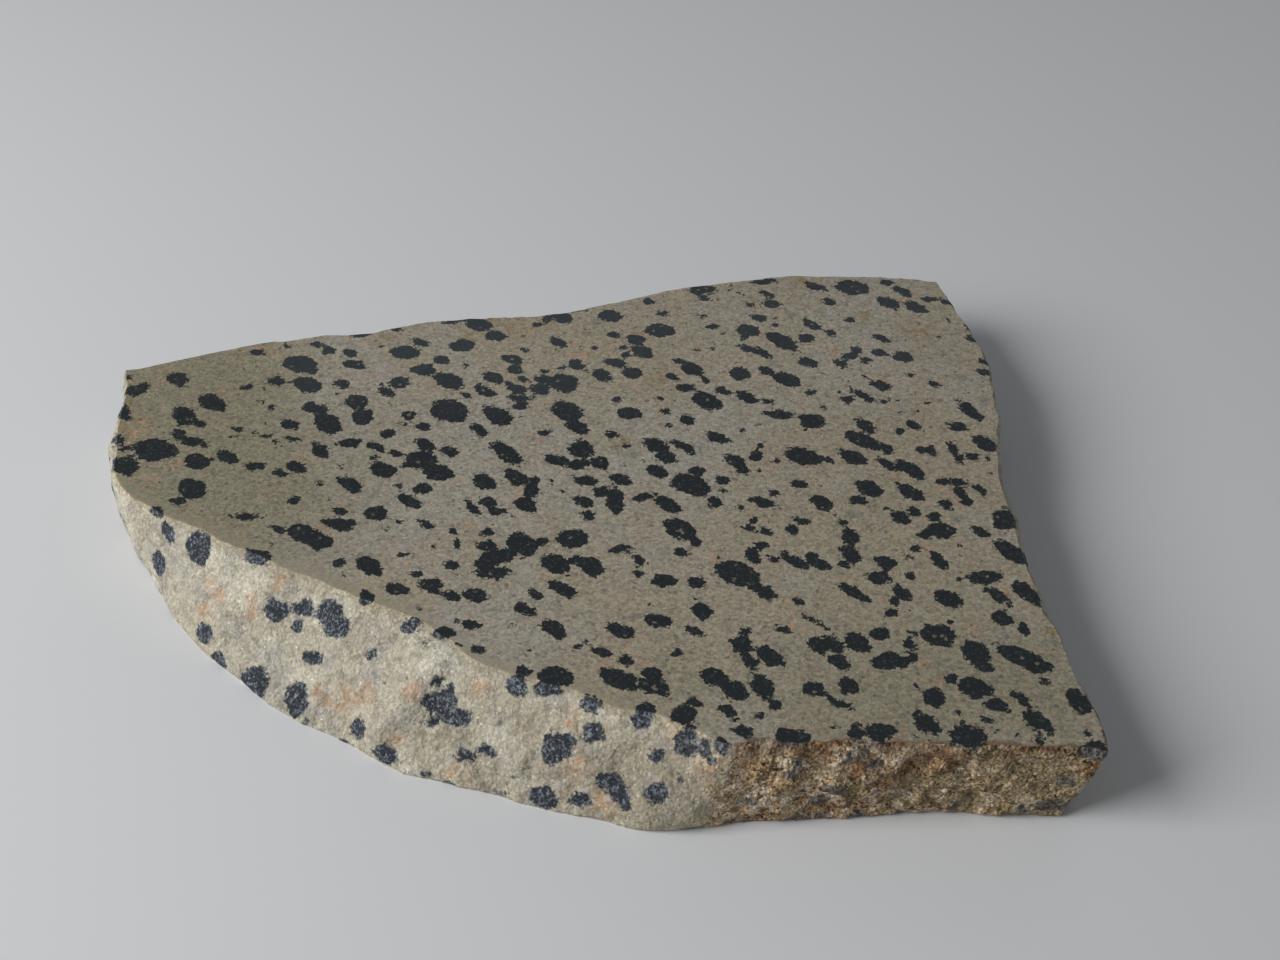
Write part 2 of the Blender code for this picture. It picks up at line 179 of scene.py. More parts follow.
# Spots that the upper cut shows: x, y, length, width and the turn of the length from +X
# in degrees. The least ones are scattered later.
TOP_SPOTS = (
    # along the left end
    (-49.6, 18.1, 1.4, 0.9, -60), (-48.0, 15.8, 2.7, 2.2, 20), (-43.8, 17.8, 3.2, 2.2, -55),
    (-48.5, 11.5, 3.2, 1.4, -65), (-38.9, 13.3, 4.0, 2.0, -43), (-41.5, 10.8, 3.9, 2.2, -50),
    (-39.4, 9.4, 1.6, 1.0, -60), (-35.5, 23.1, 1.6, 1.2, -30), (-48.4, 6.6, 2.8, 1.6, -45),
    (-46.6, 5.3, 2.4, 1.1, -20), (-43.4, 4.8, 5.0, 3.5, -20), (-46.1, 2.1, 3.6, 2.5, -55),
    (-41.3, 7.5, 1.9, 1.2, -60), (-39.6, 6.3, 2.8, 1.5, -15), (-38.4, 2.7, 3.0, 2.4, -40),
    (-35.3, 3.6, 3.0, 1.8, -40), (-31.9, 2.0, 2.1, 1.5, -20), (-37.8, -1.8, 3.8, 2.6, -45),
    (-38.9, -3.8, 1.5, 1.1, 0), (-40.9, -5.5, 1.6, 1.0, -40), (-31.6, -6.4, 2.7, 1.0, -5),
    # back, left half
    (-28.7, 24.7, 2.0, 1.3, -40), (-27.2, 23.5, 1.8, 1.3, -40), (-24.7, 23.0, 1.8, 1.1, -45),
    (-23.9, 26.9, 2.4, 1.6, 0), (-30.2, 20.7, 4.3, 3.2, -15), (-28.5, 19.3, 1.6, 1.0, -30),
    (-23.8, 20.6, 2.8, 1.7, -20), (-32.3, 17.5, 2.1, 1.6, -25), (-28.5, 16.6, 3.8, 2.6, -40),
    (-24.7, 16.8, 2.1, 1.3, -35), (-27.1, 12.3, 3.2, 1.8, -25), (-22.5, 13.4, 3.0, 2.3, -50),
    (-21.4, 10.6, 3.0, 2.4, -60), (-25.3, 9.5, 4.0, 2.5, -60), (-29.4, 9.2, 2.3, 1.5, -25),
    (-19.4, 15.3, 2.2, 1.3, -40), (-16.5, 25.2, 2.3, 1.4, -45), (-18.1, 23.1, 3.5, 2.5, -15),
    (-13.7, 21.6, 2.0, 1.5, -40), (-15.5, 19.6, 3.0, 2.3, -20), (-18.1, 17.1, 2.4, 2.0, -20),
    (-11.6, 24.6, 3.1, 2.4, -5), (-9.9, 29.0, 3.6, 2.3, -35), (-13.4, 29.3, 1.8, 0.8, 10),
    (-7.7, 26.6, 2.5, 2.2, -20), (-12.3, 17.4, 4.2, 2.5, -40), (-7.3, 18.1, 2.9, 1.6, -45),
    (-5.3, 21.8, 2.7, 1.6, -30), (-4.9, 19.6, 2.0, 1.7, -30), (-8.0, 15.5, 3.1, 1.5, -45),
    (-4.5, 15.9, 2.8, 1.5, -35), (-1.9, 15.9, 2.7, 1.8, -30), (-4.2, 14.0, 2.2, 1.1, -20),
    (-3.9, 12.6, 1.9, 1.4, -20), (-11.9, 11.8, 4.6, 3.8, -50), (-10.2, 14.7, 1.3, 0.9, -30),
    (-6.4, 11.0, 4.4, 2.4, -48), (-16.3, 11.0, 1.7, 1.2, -30), (-14.6, 9.0, 1.8, 1.2, -40),
    (-16.5, 9.5, 1.9, 0.7, -10),
    # back, middle
    (0.8, 17.0, 3.8, 3.0, -45), (-1.5, 17.7, 2.4, 1.3, -10), (-1.5, 19.1, 1.4, 0.9, -70),
    (1.4, 11.8, 4.2, 3.0, -45), (2.7, 8.8, 3.2, 1.7, -52), (8.5, 11.3, 2.7, 2.2, -20),
    (6.0, 30.7, 2.9, 2.6, -20), (0.3, 30.4, 2.7, 2.2, -50), (-1.8, 30.1, 1.7, 1.3, -60),
    (-2.8, 28.9, 1.4, 1.0, -30), (0.0, 25.3, 2.6, 1.4, -40), (6.5, 26.8, 1.6, 1.2, -30),
    (10.5, 33.9, 1.6, 1.2, -50), (12.4, 31.4, 1.5, 1.1, 0), (12.0, 27.6, 3.7, 2.8, -10),
    (9.1, 25.8, 2.6, 1.9, -40), (10.0, 23.3, 3.1, 1.9, -50), (7.8, 24.3, 1.2, 0.9, 0),
    (6.7, 21.1, 2.9, 1.8, -35), (8.8, 19.0, 2.4, 2.0, -10), (2.1, 20.5, 2.1, 1.7, -30),
    (5.4, 18.6, 2.7, 1.6, -45), (13.4, 18.3, 1.7, 1.1, -20), (12.5, 11.8, 1.5, 1.1, -20),
    # back, right half
    (17.5, 36.6, 3.4, 1.9, 0), (17.5, 34.7, 1.5, 1.2, 0), (25.5, 38.4, 3.6, 1.2, 5),
    (25.3, 35.4, 2.2, 1.0, -45), (25.9, 33.3, 2.4, 1.3, -20), (31.6, 37.4, 3.0, 1.5, -35),
    (36.1, 37.0, 4.2, 3.3, -10), (33.1, 33.9, 2.1, 1.2, -40), (40.7, 38.1, 1.9, 1.3, -20),
    (42.2, 36.3, 3.3, 1.4, -50), (40.3, 33.6, 3.4, 1.9, -45), (43.5, 32.5, 3.1, 1.9, -50),
    (45.3, 34.4, 1.9, 1.0, -20), (47.4, 33.9, 1.8, 1.4, -30), (24.0, 30.4, 2.2, 1.4, -45),
    (17.2, 30.7, 1.4, 0.9, -50), (18.5, 28.4, 1.7, 1.1, -20), (22.7, 27.6, 3.0, 2.2, -25),
    (26.7, 25.3, 5.0, 2.2, -45), (29.6, 26.0, 2.0, 1.6, -20), (30.5, 28.9, 2.6, 1.5, -50),
    (32.5, 27.2, 1.6, 0.9, -45), (35.2, 29.8, 1.4, 1.2, 0), (38.4, 26.0, 2.3, 1.3, -45),
    (22.5, 23.9, 3.6, 0.9, -30), (24.3, 22.8, 2.7, 1.2, -55), (29.2, 21.1, 2.6, 1.8, -45),
    (33.3, 20.7, 2.0, 1.1, -40), (34.5, 22.4, 2.1, 1.3, 0), (35.3, 23.7, 1.7, 1.1, -50),
    (37.9, 23.1, 1.6, 1.2, -30), (40.6, 22.2, 2.6, 1.8, -15), (15.7, 19.8, 3.3, 1.9, -50),
    (14.3, 21.3, 1.5, 1.0, -30), (21.2, 18.9, 2.6, 2.2, -30), (24.3, 19.5, 2.0, 1.3, -40),
    (26.7, 17.8, 3.4, 2.2, -35), (17.2, 17.6, 1.6, 0.8, -70), (15.0, 16.1, 2.6, 1.3, -25),
    (19.4, 15.5, 2.0, 1.3, -45), (21.9, 14.4, 2.8, 1.8, -45), (17.1, 13.7, 3.8, 2.6, -50),
    (37.4, 16.5, 2.5, 1.6, -30), (43.5, 16.8, 1.7, 1.2, -30), (33.3, 13.9, 1.6, 1.3, -40),
    (35.3, 14.5, 3.9, 1.1, -45), (46.9, 11.9, 4.2, 1.6, -60), (49.6, 19.0, 2.0, 1.1, -40),
    (50.0, 21.1, 1.6, 1.2, -60), (49.6, 25.9, 2.0, 1.2, -20), (49.5, 28.3, 1.7, 1.1, -70),
    # middle, left
    (-27.4, 1.8, 2.6, 1.7, -40), (-25.2, 4.7, 3.2, 1.5, -58), (-22.3, 6.0, 2.7, 1.6, 0),
    (-19.1, 5.3, 2.4, 1.3, -30), (-18.0, 1.3, 2.9, 2.1, -28), (-21.0, -1.2, 3.0, 1.9, -35),
    (-24.7, -9.0, 4.2, 2.4, -35), (-22.9, -10.3, 2.4, 2.0, -30), (-27.7, -8.2, 1.8, 0.8, -40),
    (-21.2, -7.5, 3.0, 1.8, -20), (-21.7, -5.4, 1.5, 1.1, -20), (-17.9, -5.8, 2.5, 2.1, -20),
    (-29.0, -12.5, 2.6, 1.6, -35), (-18.2, 7.6, 1.8, 1.4, -15), (-14.0, 5.6, 2.8, 1.6, -45),
    (-11.1, 4.5, 2.3, 1.5, -45), (-14.0, 2.9, 3.8, 2.9, -25), (-12.0, 0.9, 3.4, 2.2, -15),
    (-13.4, -1.7, 2.1, 1.7, -30), (-14.5, -4.0, 2.9, 1.6, -40), (-12.5, -7.5, 1.6, 1.0, -40),
    (-17.6, -13.8, 3.3, 1.8, -50), (-11.2, -16.5, 2.4, 2.0, -10), (-14.5, -17.1, 2.3, 1.6, -10),
    (-9.3, -13.6, 1.7, 1.2, -15), (-8.4, 8.3, 2.5, 1.3, -60), (-4.9, 4.2, 4.8, 2.2, -45),
    (-6.9, -0.6, 3.0, 1.9, -50), (-6.2, -4.0, 2.1, 1.4, -40), (-7.7, -5.1, 2.6, 1.0, -60),
    (-5.1, -5.5, 2.0, 1.3, -10), (-29.0, 0.7, 1.4, 1.0, -40), (-26.7, -3.8, 1.3, 1.1, -40),
    # middle
    (-3.6, 0.2, 3.3, 1.7, -50), (-1.5, -0.5, 1.4, 1.2, 0), (-1.9, -2.1, 2.4, 1.5, 80),
    (-2.3, -4.3, 2.9, 1.8, -40), (-2.4, -10.6, 3.6, 3.0, -50), (-4.0, -12.3, 2.3, 1.9, -20),
    (-6.0, -10.8, 2.1, 1.7, -10), (-5.6, -13.1, 3.0, 2.4, 70), (-5.1, -14.8, 3.6, 1.8, 0),
    (-0.5, -10.0, 1.2, 1.0, 0), (2.8, -9.8, 3.3, 2.6, -20), (1.2, -13.4, 3.0, 2.3, -50),
    (3.1, -12.9, 1.8, 1.1, 0), (4.7, -13.8, 3.3, 2.1, -50), (0.7, 3.0, 2.6, 1.8, -30),
    (3.0, 2.4, 2.3, 1.8, -10), (5.3, 2.5, 2.3, 1.8, -45), (3.2, 4.9, 3.2, 2.5, -45),
    (-0.7, 7.6, 1.4, 1.0, 0), (6.7, 7.5, 1.6, 1.2, -30), (11.4, 5.6, 3.2, 1.9, -40),
    (12.5, 3.6, 2.3, 1.7, -30), (14.4, 5.2, 3.2, 1.2, -40), (11.6, 1.1, 2.4, 1.9, -50),
    (7.7, -0.3, 2.9, 1.5, -35), (3.8, -0.5, 2.5, 1.6, -15), (5.6, -2.4, 2.0, 1.7, -40),
    (7.1, -2.9, 2.6, 1.8, -70), (7.0, -4.6, 1.9, 1.7, -80), (3.8, -3.8, 2.4, 1.6, -30),
    (4.1, -6.0, 1.7, 1.2, -50), (12.7, -4.4, 3.3, 1.8, -45), (15.0, -1.2, 4.4, 2.9, -35),
    (10.1, -3.2, 2.4, 1.0, 20), (7.7, -11.3, 2.1, 1.0, 10), (9.6, -13.0, 2.4, 1.0, -50),
    (12.0, -15.8, 2.4, 1.9, -10), (13.8, -8.3, 3.8, 2.6, -45), (15.3, -16.2, 1.9, 1.7, -60),
    # middle, right
    (15.0, 10.1, 1.9, 1.5, -70), (18.2, 7.0, 2.8, 1.7, -30), (15.9, 1.1, 1.9, 1.6, 0),
    (18.4, -0.4, 1.6, 1.3, 0), (17.7, -4.0, 1.9, 1.5, -80), (20.0, 2.9, 2.9, 1.7, -48),
    (20.8, 1.3, 1.5, 1.2, -50), (22.3, 3.8, 1.9, 1.5, -70), (25.3, 11.1, 3.6, 1.7, -15),
    (28.9, 9.9, 3.1, 2.5, -15), (27.3, 3.6, 4.2, 3.0, -35), (26.6, -1.1, 1.8, 1.2, -20),
    (22.7, -4.1, 3.1, 1.5, -25), (28.7, -4.1, 2.8, 2.0, -50), (32.9, 3.5, 3.6, 1.8, -42),
    (34.1, 6.5, 4.6, 2.2, -45), (36.7, 4.8, 2.0, 1.2, -60), (36.5, 2.3, 2.7, 1.3, -55),
    (38.9, 1.4, 3.8, 2.0, -52), (35.0, 9.1, 3.1, 1.4, -50), (33.9, -1.7, 3.2, 2.2, -38),
    (32.6, -3.7, 2.0, 1.6, -30), (38.4, -2.4, 3.4, 1.8, -45), (40.1, 9.1, 2.6, 1.2, -52),
    (45.0, 9.0, 2.3, 1.5, -25), (40.3, 4.7, 1.4, 1.2, -50), (41.6, 4.6, 1.7, 1.4, -50),
    (44.0, 4.6, 3.9, 1.1, -75), (45.9, 3.7, 1.6, 1.1, -20), (47.5, 5.9, 3.0, 1.9, -50),
    (42.0, -0.5, 1.6, 1.3, 0), (43.8, -0.7, 2.3, 1.3, -20), (45.7, -1.8, 2.3, 0.9, -60),
    (43.7, -2.4, 1.7, 1.3, -80), (44.0, -3.8, 1.5, 1.2, -30), (41.8, -4.4, 1.5, 1.3, -70),
    (36.7, -6.4, 2.3, 1.7, -45), (38.2, -5.4, 1.6, 1.3, -60), (40.2, -6.3, 1.4, 1.3, 0),
    (40.6, -8.5, 3.2, 2.3, -10), (38.8, -9.1, 1.6, 1.3, 0), (44.6, -8.5, 2.4, 1.1, -40),
    (47.5, -6.8, 3.6, 2.6, 80), (47.4, -11.8, 4.4, 2.2, -50), (31.2, -9.4, 2.3, 1.8, -70),
    (31.1, -12.0, 2.8, 1.8, -60), (25.3, -8.2, 1.6, 1.3, -60), (21.0, -8.0, 1.7, 1.0, -20),
    (22.7, -8.7, 1.3, 0.9, -60), (21.9, -10.7, 1.6, 1.3, 0), (21.1, -12.4, 2.2, 1.5, -80),
    (25.3, -13.1, 3.0, 1.3, -47), (27.5, -13.1, 3.1, 1.6, -52), (34.4, -13.3, 2.2, 1.8, -50),
    (39.9, -13.0, 2.5, 1.4, -72), (30.3, -13.5, 1.4, 1.1, -20),
    # front, left of the middle
    (-8.7, -18.1, 1.9, 1.3, -30), (-6.5, -18.0, 2.6, 1.7, -18), (-0.8, -17.8, 1.7, 1.1, -50),
    (2.0, -17.1, 3.0, 1.8, -45), (-1.6, -20.1, 2.0, 1.4, -35), (-6.7, -22.1, 1.6, 1.2, -10),
    (-9.2, -23.2, 1.7, 1.3, -20), (-12.3, -21.9, 2.2, 1.8, -45), (-5.8, -25.3, 1.4, 0.9, -10),
    (1.2, -22.7, 2.6, 1.6, -45), (7.7, -22.9, 3.0, 1.8, -45), (11.5, -21.6, 2.6, 1.7, -20),
    (14.9, -22.9, 1.8, 1.1, -38), (8.3, -26.7, 1.4, 1.0, -20), (-1.2, -28.2, 1.4, 1.0, -50),
    (1.8, -28.8, 3.1, 2.1, -12), (7.6, -29.2, 3.8, 2.2, -32), (10.8, -28.5, 2.3, 1.5, -20),
    (11.0, -30.2, 3.1, 2.0, -30), (10.2, -32.8, 1.9, 1.4, 0), (13.7, -33.7, 2.2, 1.8, -10),
    (13.1, -25.8, 1.1, 0.9, 0), (14.7, -32.2, 1.3, 1.0, -40), (15.8, -20.2, 2.2, 1.7, -50),
    # front, right
    (19.4, -15.0, 4.6, 2.9, -38), (20.9, -16.5, 2.2, 1.5, -40), (22.3, -17.6, 1.8, 1.5, -60),
    (23.4, -22.7, 1.5, 0.9, -30), (19.8, -23.1, 1.3, 0.9, 0), (19.4, -24.8, 2.5, 1.9, -55),
    (20.1, -26.9, 1.9, 1.3, -75), (22.1, -26.5, 3.0, 1.8, -50), (16.7, -29.1, 2.9, 2.0, -30),
    (18.5, -30.5, 2.8, 2.1, -60), (21.1, -30.1, 3.0, 1.9, -72), (17.7, -33.2, 2.2, 1.4, -45),
    (19.0, -35.6, 1.7, 1.2, -20), (23.2, -36.2, 2.7, 2.0, 0), (25.8, -30.5, 2.1, 1.8, -30),
    (29.0, -30.0, 2.3, 1.9, -80), (28.4, -32.4, 1.9, 1.0, -20), (26.6, -24.9, 2.3, 1.7, -45),
    (28.2, -24.8, 2.5, 1.5, -70), (28.4, -27.0, 2.2, 1.7, -50), (30.4, -24.4, 2.6, 2.3, -70),
    (32.7, -23.2, 2.0, 1.6, 0), (33.2, -26.9, 3.4, 2.3, 0), (35.3, -24.8, 1.6, 1.2, -60),
    (35.3, -26.4, 1.3, 1.1, 0), (34.1, -20.7, 1.5, 1.1, 0), (38.2, -23.5, 3.4, 3.1, -20),
    (41.5, -25.9, 2.9, 2.5, -70), (41.9, -27.6, 1.7, 1.3, 0), (45.5, -26.3, 4.6, 2.0, -35),
    (47.1, -27.3, 2.8, 1.8, -20), (40.8, -30.3, 3.2, 2.6, -20), (42.3, -32.5, 2.1, 1.5, -20),
    (38.7, -29.1, 1.1, 0.9, 0), (36.8, -31.4, 2.5, 2.0, -45), (44.7, -31.6, 2.1, 0.9, -58),
    (35.6, -34.5, 2.8, 1.7, -55), (29.1, -35.9, 1.7, 1.5, 90), (31.3, -35.9, 2.7, 2.2, 0),
    (39.0, -36.2, 3.4, 2.7, 0), (45.8, -34.6, 3.1, 1.5, -60), (50.0, -31.9, 3.0, 2.1, -75),
    (50.3, -37.7, 2.6, 2.0, 10), (44.1, -15.4, 3.3, 2.1, 0), (44.9, -18.2, 3.0, 1.4, -48),
    (47.9, -17.7, 3.6, 1.9, -52), (44.8, -21.1, 2.3, 1.7, -70), (46.7, -22.7, 1.7, 1.1, -70),
    (40.0, -18.5, 2.8, 2.1, -22), (33.4, -15.6, 2.5, 1.7, -15), (31.0, -17.7, 3.2, 1.3, -42),
    (35.5, -17.6, 2.6, 1.4, -52), (34.6, -18.8, 1.4, 0.9, -80),
    # small ones all over
    (-34.9, 8.5, 1.3, 0.7, -20), (-35.3, 7.0, 1.1, 0.6, -10), (-35.6, 16.3, 1.4, 1.1, -40),
    (-31.9, 12.3, 1.0, 0.7, -30), (-32.9, 7.7, 0.8, 0.6, 0), (-32.0, 7.0, 0.8, 0.6, -40),
    (-31.2, 6.8, 0.7, 0.5, -30), (-30.5, 6.2, 0.9, 0.6, -40), (-30.0, 5.5, 0.7, 0.5, 0),
    (-28.7, 6.8, 1.5, 0.7, -20), (-30.8, 7.8, 0.6, 0.5, 0), (-29.5, 1.2, 0.9, 0.6, -10),
    (-19.4, 27.9, 1.5, 0.8, 0), (-21.0, 24.1, 0.8, 0.7, 0), (-12.3, 30.0, 1.6, 0.6, 0),
    (-3.9, 17.9, 1.3, 0.9, -30), (-5.8, 16.9, 0.8, 0.7, 0), (-2.7, 14.4, 0.9, 0.7, 0),
    (7.0, 13.8, 1.1, 0.8, -30), (2.3, 32.1, 1.4, 0.6, 0), (8.0, 22.6, 1.2, 1.0, 0),
    (3.2, 19.6, 1.2, 0.7, -30), (0.4, 20.0, 0.9, 0.6, 0), (-3.9, 23.7, 1.2, 0.6, -40),
    (12.9, 9.0, 1.0, 0.7, 0), (23.1, 33.3, 1.5, 0.9, -20), (26.2, 30.3, 1.0, 0.8, 0),
    (25.8, 28.9, 1.0, 0.8, 0), (21.9, 25.9, 0.9, 0.7, 0), (36.3, 21.5, 1.2, 1.0, 0),
    (29.2, 15.3, 1.2, 1.0, 0), (35.9, 18.2, 1.1, 0.7, -60), (37.5, 13.6, 1.0, 0.8, 0),
    (24.3, 13.5, 1.0, 0.8, 0), (30.3, 12.4, 1.1, 0.7, -50), (-38.1, 5.5, 1.0, 0.8, 0),
    (-19.2, 3.4, 1.1, 0.7, -20), (-22.6, 1.9, 0.9, 0.7, 0), (-22.7, -7.0, 1.1, 0.9, 0),
    (-20.7, -13.2, 1.2, 1.0, 0), (-16.9, 4.2, 1.4, 0.9, -30), (-15.8, 2.2, 1.0, 0.9, 0),
    (-17.5, -17.9, 1.0, 0.8, 0), (-12.9, -14.9, 1.1, 0.7, 0), (-6.1, -8.8, 1.1, 0.8, 0),
    (-9.0, -10.5, 1.5, 0.7, -80), (8.1, 5.4, 1.0, 0.7, -30), (9.6, -14.9, 1.0, 0.9, 0),
    (14.0, -11.9, 1.4, 1.1, -40), (15.2, -10.1, 1.6, 1.3, -50), (18.4, -2.1, 0.9, 0.7, 0),
    (23.0, 5.5, 0.8, 0.7, 0), (24.5, 2.9, 0.8, 0.6, 0), (30.1, 2.9, 1.6, 0.9, -55),
    (24.0, -2.5, 1.2, 1.0, 0), (21.4, -6.8, 1.2, 0.8, -80), (23.1, -12.8, 1.2, 0.6, -30),
    (30.6, -7.3, 1.0, 0.8, 0), (36.7, -12.5, 1.1, 0.9, 0), (37.7, -11.2, 1.2, 0.8, 0),
    (3.7, -25.2, 0.8, 0.6, 0), (20.6, -33.7, 0.8, 0.7, 0), (45.6, -36.9, 1.1, 0.8, 0),
    (47.4, -29.4, 1.0, 0.8, 0), (25.9, -21.0, 0.9, 0.6, -40), (26.9, -21.9, 0.9, 0.6, -40),
)

# Pale grey spots of the upper cut, whose black lies just below it
GHOST_SPOTS = (
    (-40.5, -0.6, 1.4, 0.9, -10), (46.5, 32.1, 1.6, 1.3, -30), (45.7, 22.9, 1.4, 1.1, 0),
    (48.4, 23.2, 1.2, 1.0, 0), (48.9, 16.4, 1.1, 0.9, 0), (48.9, 13.8, 1.6, 1.3, -30),
    (47.0, 17.9, 1.6, 1.3, -20), (8.9, 3.9, 1.4, 1.1, -40), (31.7, -6.0, 1.5, 1.2, -20),
    (38.6, 11.4, 1.4, 0.8, -40), (49.1, -24.3, 1.5, 1.2, 0), (3.4, 27.3, 1.2, 0.9, -70),
    (4.3, 29.3, 1.2, 0.9, -40), (28.1, 31.0, 1.3, 1.1, 0), (32.2, 30.8, 1.2, 1.0, 0),
    (34.8, 28.2, 1.3, 0.9, -80), (23.4, -25.4, 1.5, 1.2, -50), (42.3, -6.4, 1.2, 0.8, -40),
    (11.9, -11.6, 1.1, 0.9, 0), (9.4, -21.0, 1.0, 0.8, 0), (48.5, 6.4, 1.6, 1.2, 80),
)

# Spots that the broken front face shows: middle, and size across and down the face
FRONT_SPOTS = (
    # left end
    ((-39.6, -7.0, 8.1), 2.0, 2.4), ((-35.7, -9.7, 8.2), 3.5, 3.5), ((-41.4, -6.8, 3.4), 2.9, 3.0),
    ((-29.1, -12.4, 9.3), 2.8, 1.5), ((-41.1, -5.3, 9.4), 1.7, 0.9), ((-35.0, -16.0, 2.2), 4.0, 2.1),
    ((-33.2, -18.5, 0.8), 3.6, 1.7), ((-28.9, -21.9, 1.0), 3.3, 3.5), ((-24.2, -24.1, 1.3), 2.6, 3.4),
    ((-26.8, -17.1, 6.6), 3.0, 2.2), ((-23.7, -17.8, 7.6), 2.6, 2.0), ((-21.0, -19.1, 8.0), 3.1, 2.6),
    ((-20.2, -20.3, 7.5), 3.0, 2.4), ((-24.5, -18.7, 5.9), 1.6, 1.3), ((-22.6, -21.4, 4.2), 2.6, 1.4),
    # round the crest
    ((-17.6, -28.5, 1.7), 2.3, 2.0), ((-14.8, -31.2, 1.3), 2.5, 1.9), ((-10.6, -33.3, 0.6), 1.2, 0.6),
    ((-17.2, -18.5, 9.5), 1.6, 1.4), ((-12.5, -21.8, 9.1), 2.4, 1.8), ((-9.2, -23.2, 9.5), 1.9, 1.3),
    ((-10.9, -24.3, 9.0), 0.6, 0.6), ((-16.3, -23.1, 6.5), 1.2, 1.0), ((-14.7, -26.4, 5.5), 0.5, 0.4),
    ((-12.6, -26.8, 6.7), 0.4, 0.4), ((-9.6, -27.6, 7.6), 1.1, 0.9), ((-9.0, -28.8, 5.9), 3.2, 2.4),
    ((-8.1, -28.3, 7.1), 0.9, 1.1), ((-7.5, -30.1, 5.1), 2.4, 1.8), ((-10.0, -29.9, 4.6), 1.7, 1.0),
    ((-10.3, -28.6, 5.9), 1.4, 1.3), ((-6.8, -32.9, 3.0), 1.8, 1.0), ((-4.7, -32.7, 3.5), 1.5, 1.0),
    # middle
    ((-1.9, -29.6, 8.9), 2.1, 1.7), ((1.0, -30.2, 9.3), 2.4, 1.6), ((5.2, -32.0, 9.2), 1.9, 1.7),
    ((2.1, -34.0, 5.6), 3.1, 2.4), ((3.0, -33.8, 6.2), 2.0, 1.3), ((1.3, -34.4, 4.7), 1.8, 1.5),
    ((5.5, -33.9, 7.2), 2.3, 1.8), ((9.9, -33.8, 9.0), 1.7, 1.4), ((14.0, -35.3, 9.3), 1.3, 1.3),
    ((13.8, -35.9, 8.3), 2.4, 2.4), ((15.6, -36.9, 8.6), 1.3, 1.3), ((17.0, -37.1, 9.3), 1.3, 1.3),
    ((16.1, -37.5, 7.6), 1.3, 1.1), ((11.1, -36.1, 6.9), 1.4, 1.2), ((7.0, -36.6, 3.9), 2.4, 1.9),
    ((7.6, -37.2, 3.2), 2.4, 1.9), ((8.3, -38.0, 2.6), 1.1, 1.5), ((11.2, -38.2, 4.0), 2.4, 1.8),
    ((4.2, -37.1, 1.6), 2.1, 1.3), ((-2.1, -35.1, 2.1), 0.7, 0.6), ((0.6, -36.5, 1.2), 2.9, 2.1),
    ((-3.2, -35.4, 0.7), 1.5, 0.5), ((13.7, -37.7, 5.3), 0.6, 0.7),
    # joint face
    ((17.5, -38.2, 6.8), 1.1, 0.5), ((19.6, -38.5, 3.3), 1.7, 0.9), ((23.8, -37.6, 7.8), 1.5, 1.3),
    ((23.3, -38.2, 6.7), 1.4, 1.2), ((28.4, -37.5, 8.3), 2.5, 1.2), ((29.7, -37.4, 8.7), 1.3, 1.1),
    ((30.9, -37.6, 7.4), 1.2, 0.9), ((27.4, -38.4, 4.9), 1.9, 1.4), ((26.0, -38.2, 3.1), 1.9, 1.4),
    ((26.5, -38.1, 0.8), 1.4, 1.1), ((30.0, -37.9, 0.8), 1.7, 1.0), ((38.6, -37.6, 1.4), 1.2, 1.4),
    ((42.0, -37.2, 8.7), 0.8, 0.5), ((43.4, -37.3, 5.9), 1.1, 0.4), ((44.9, -37.9, 1.4), 1.4, 1.1),
    ((47.7, -37.9, 2.1), 2.9, 1.7), ((48.4, -37.9, 5.2), 1.8, 1.1), ((50.3, -37.6, 9.3), 2.5, 1.9),
)

# Paler and darker places of the broken front face: middle, radius and how pale or dark. The pale ones
# along the crest, the spur and the upper rim are partly paler stone and partly a painted highlight where
# these face the light
TONES_AND_HIGHLIGHTS = (
    ((-8.5, -25.3, 8.9), 1.6, 1.3), ((-9.8, -26.4, 7.8), 1.4, 1.3), ((-11.4, -27.6, 6.2), 1.4, 1.2),
    ((-12.8, -28.6, 5.0), 1.3, 1.0), ((-14.4, -29.5, 3.4), 1.3, 0.8), ((-6.4, -28.9, 6.8), 0.9, 0.8),
    ((-4.6, -30.4, 5.6), 1.0, 1.1), ((-3.2, -31.8, 4.5), 1.0, 1.1), ((-2.0, -33.4, 3.5), 1.0, 0.9),
    ((-20.0, -17.0, 8.8), 2.6, 0.6), ((-30.0, -12.0, 8.6), 3.0, 0.5), ((-26.5, -20.0, 3.4), 3.6, 0.35),
    ((-45.0, -2.0, 7.0), 3.0, 0.5), ((3.0, -30.4, 8.8), 2.6, 0.5), ((11.0, -34.6, 8.6), 2.2, 0.3),
    ((16.2, -36.4, 9.2), 1.3, 1.3), ((-8.6, -31.2, 4.0), 2.0, -0.7), ((-1.0, -31.6, 6.2), 2.2, -0.6),
    ((4.0, -36.0, 2.4), 3.4, -0.5), ((9.0, -37.0, 5.0), 4.0, -0.7), ((14.0, -38.6, 2.6), 4.4, -1.1),
    ((-19.0, -26.0, 1.6), 2.2, -0.4), ((-34.0, -16.0, 3.0), 2.6, -0.4),
)

# Paler and browner parts of the upper cut: middle, radius and how pale or brown. The paler middle is
# partly real paleness and partly a painted sheen of the window light
GROUND_AND_SHEEN = (
    ((-46.0, 8.0, 9.5), 15.0, -1.0), ((-36.0, -4.0, 9.5), 10.0, -0.45), ((-26.0, -9.0, 9.5), 10.0, -0.35),
    ((-40.0, 20.0, 9.5), 10.0, -0.4), ((-18.0, 6.0, 9.5), 16.0, -0.4), ((9.0, -28.0, 9.5), 10.0, -0.4),
    ((30.0, -33.0, 9.5), 14.0, -0.5), ((46.0, -30.0, 9.5), 10.0, -0.55), ((36.0, 0.0, 9.5), 13.0, -0.25),
    ((12.0, -16.0, 9.5), 12.0, 0.35), ((0.0, 6.0, 9.5), 16.0, 0.25), ((-12.0, 24.0, 9.5), 14.0, 0.2),
    ((22.0, 26.0, 9.5), 18.0, 0.3),
)

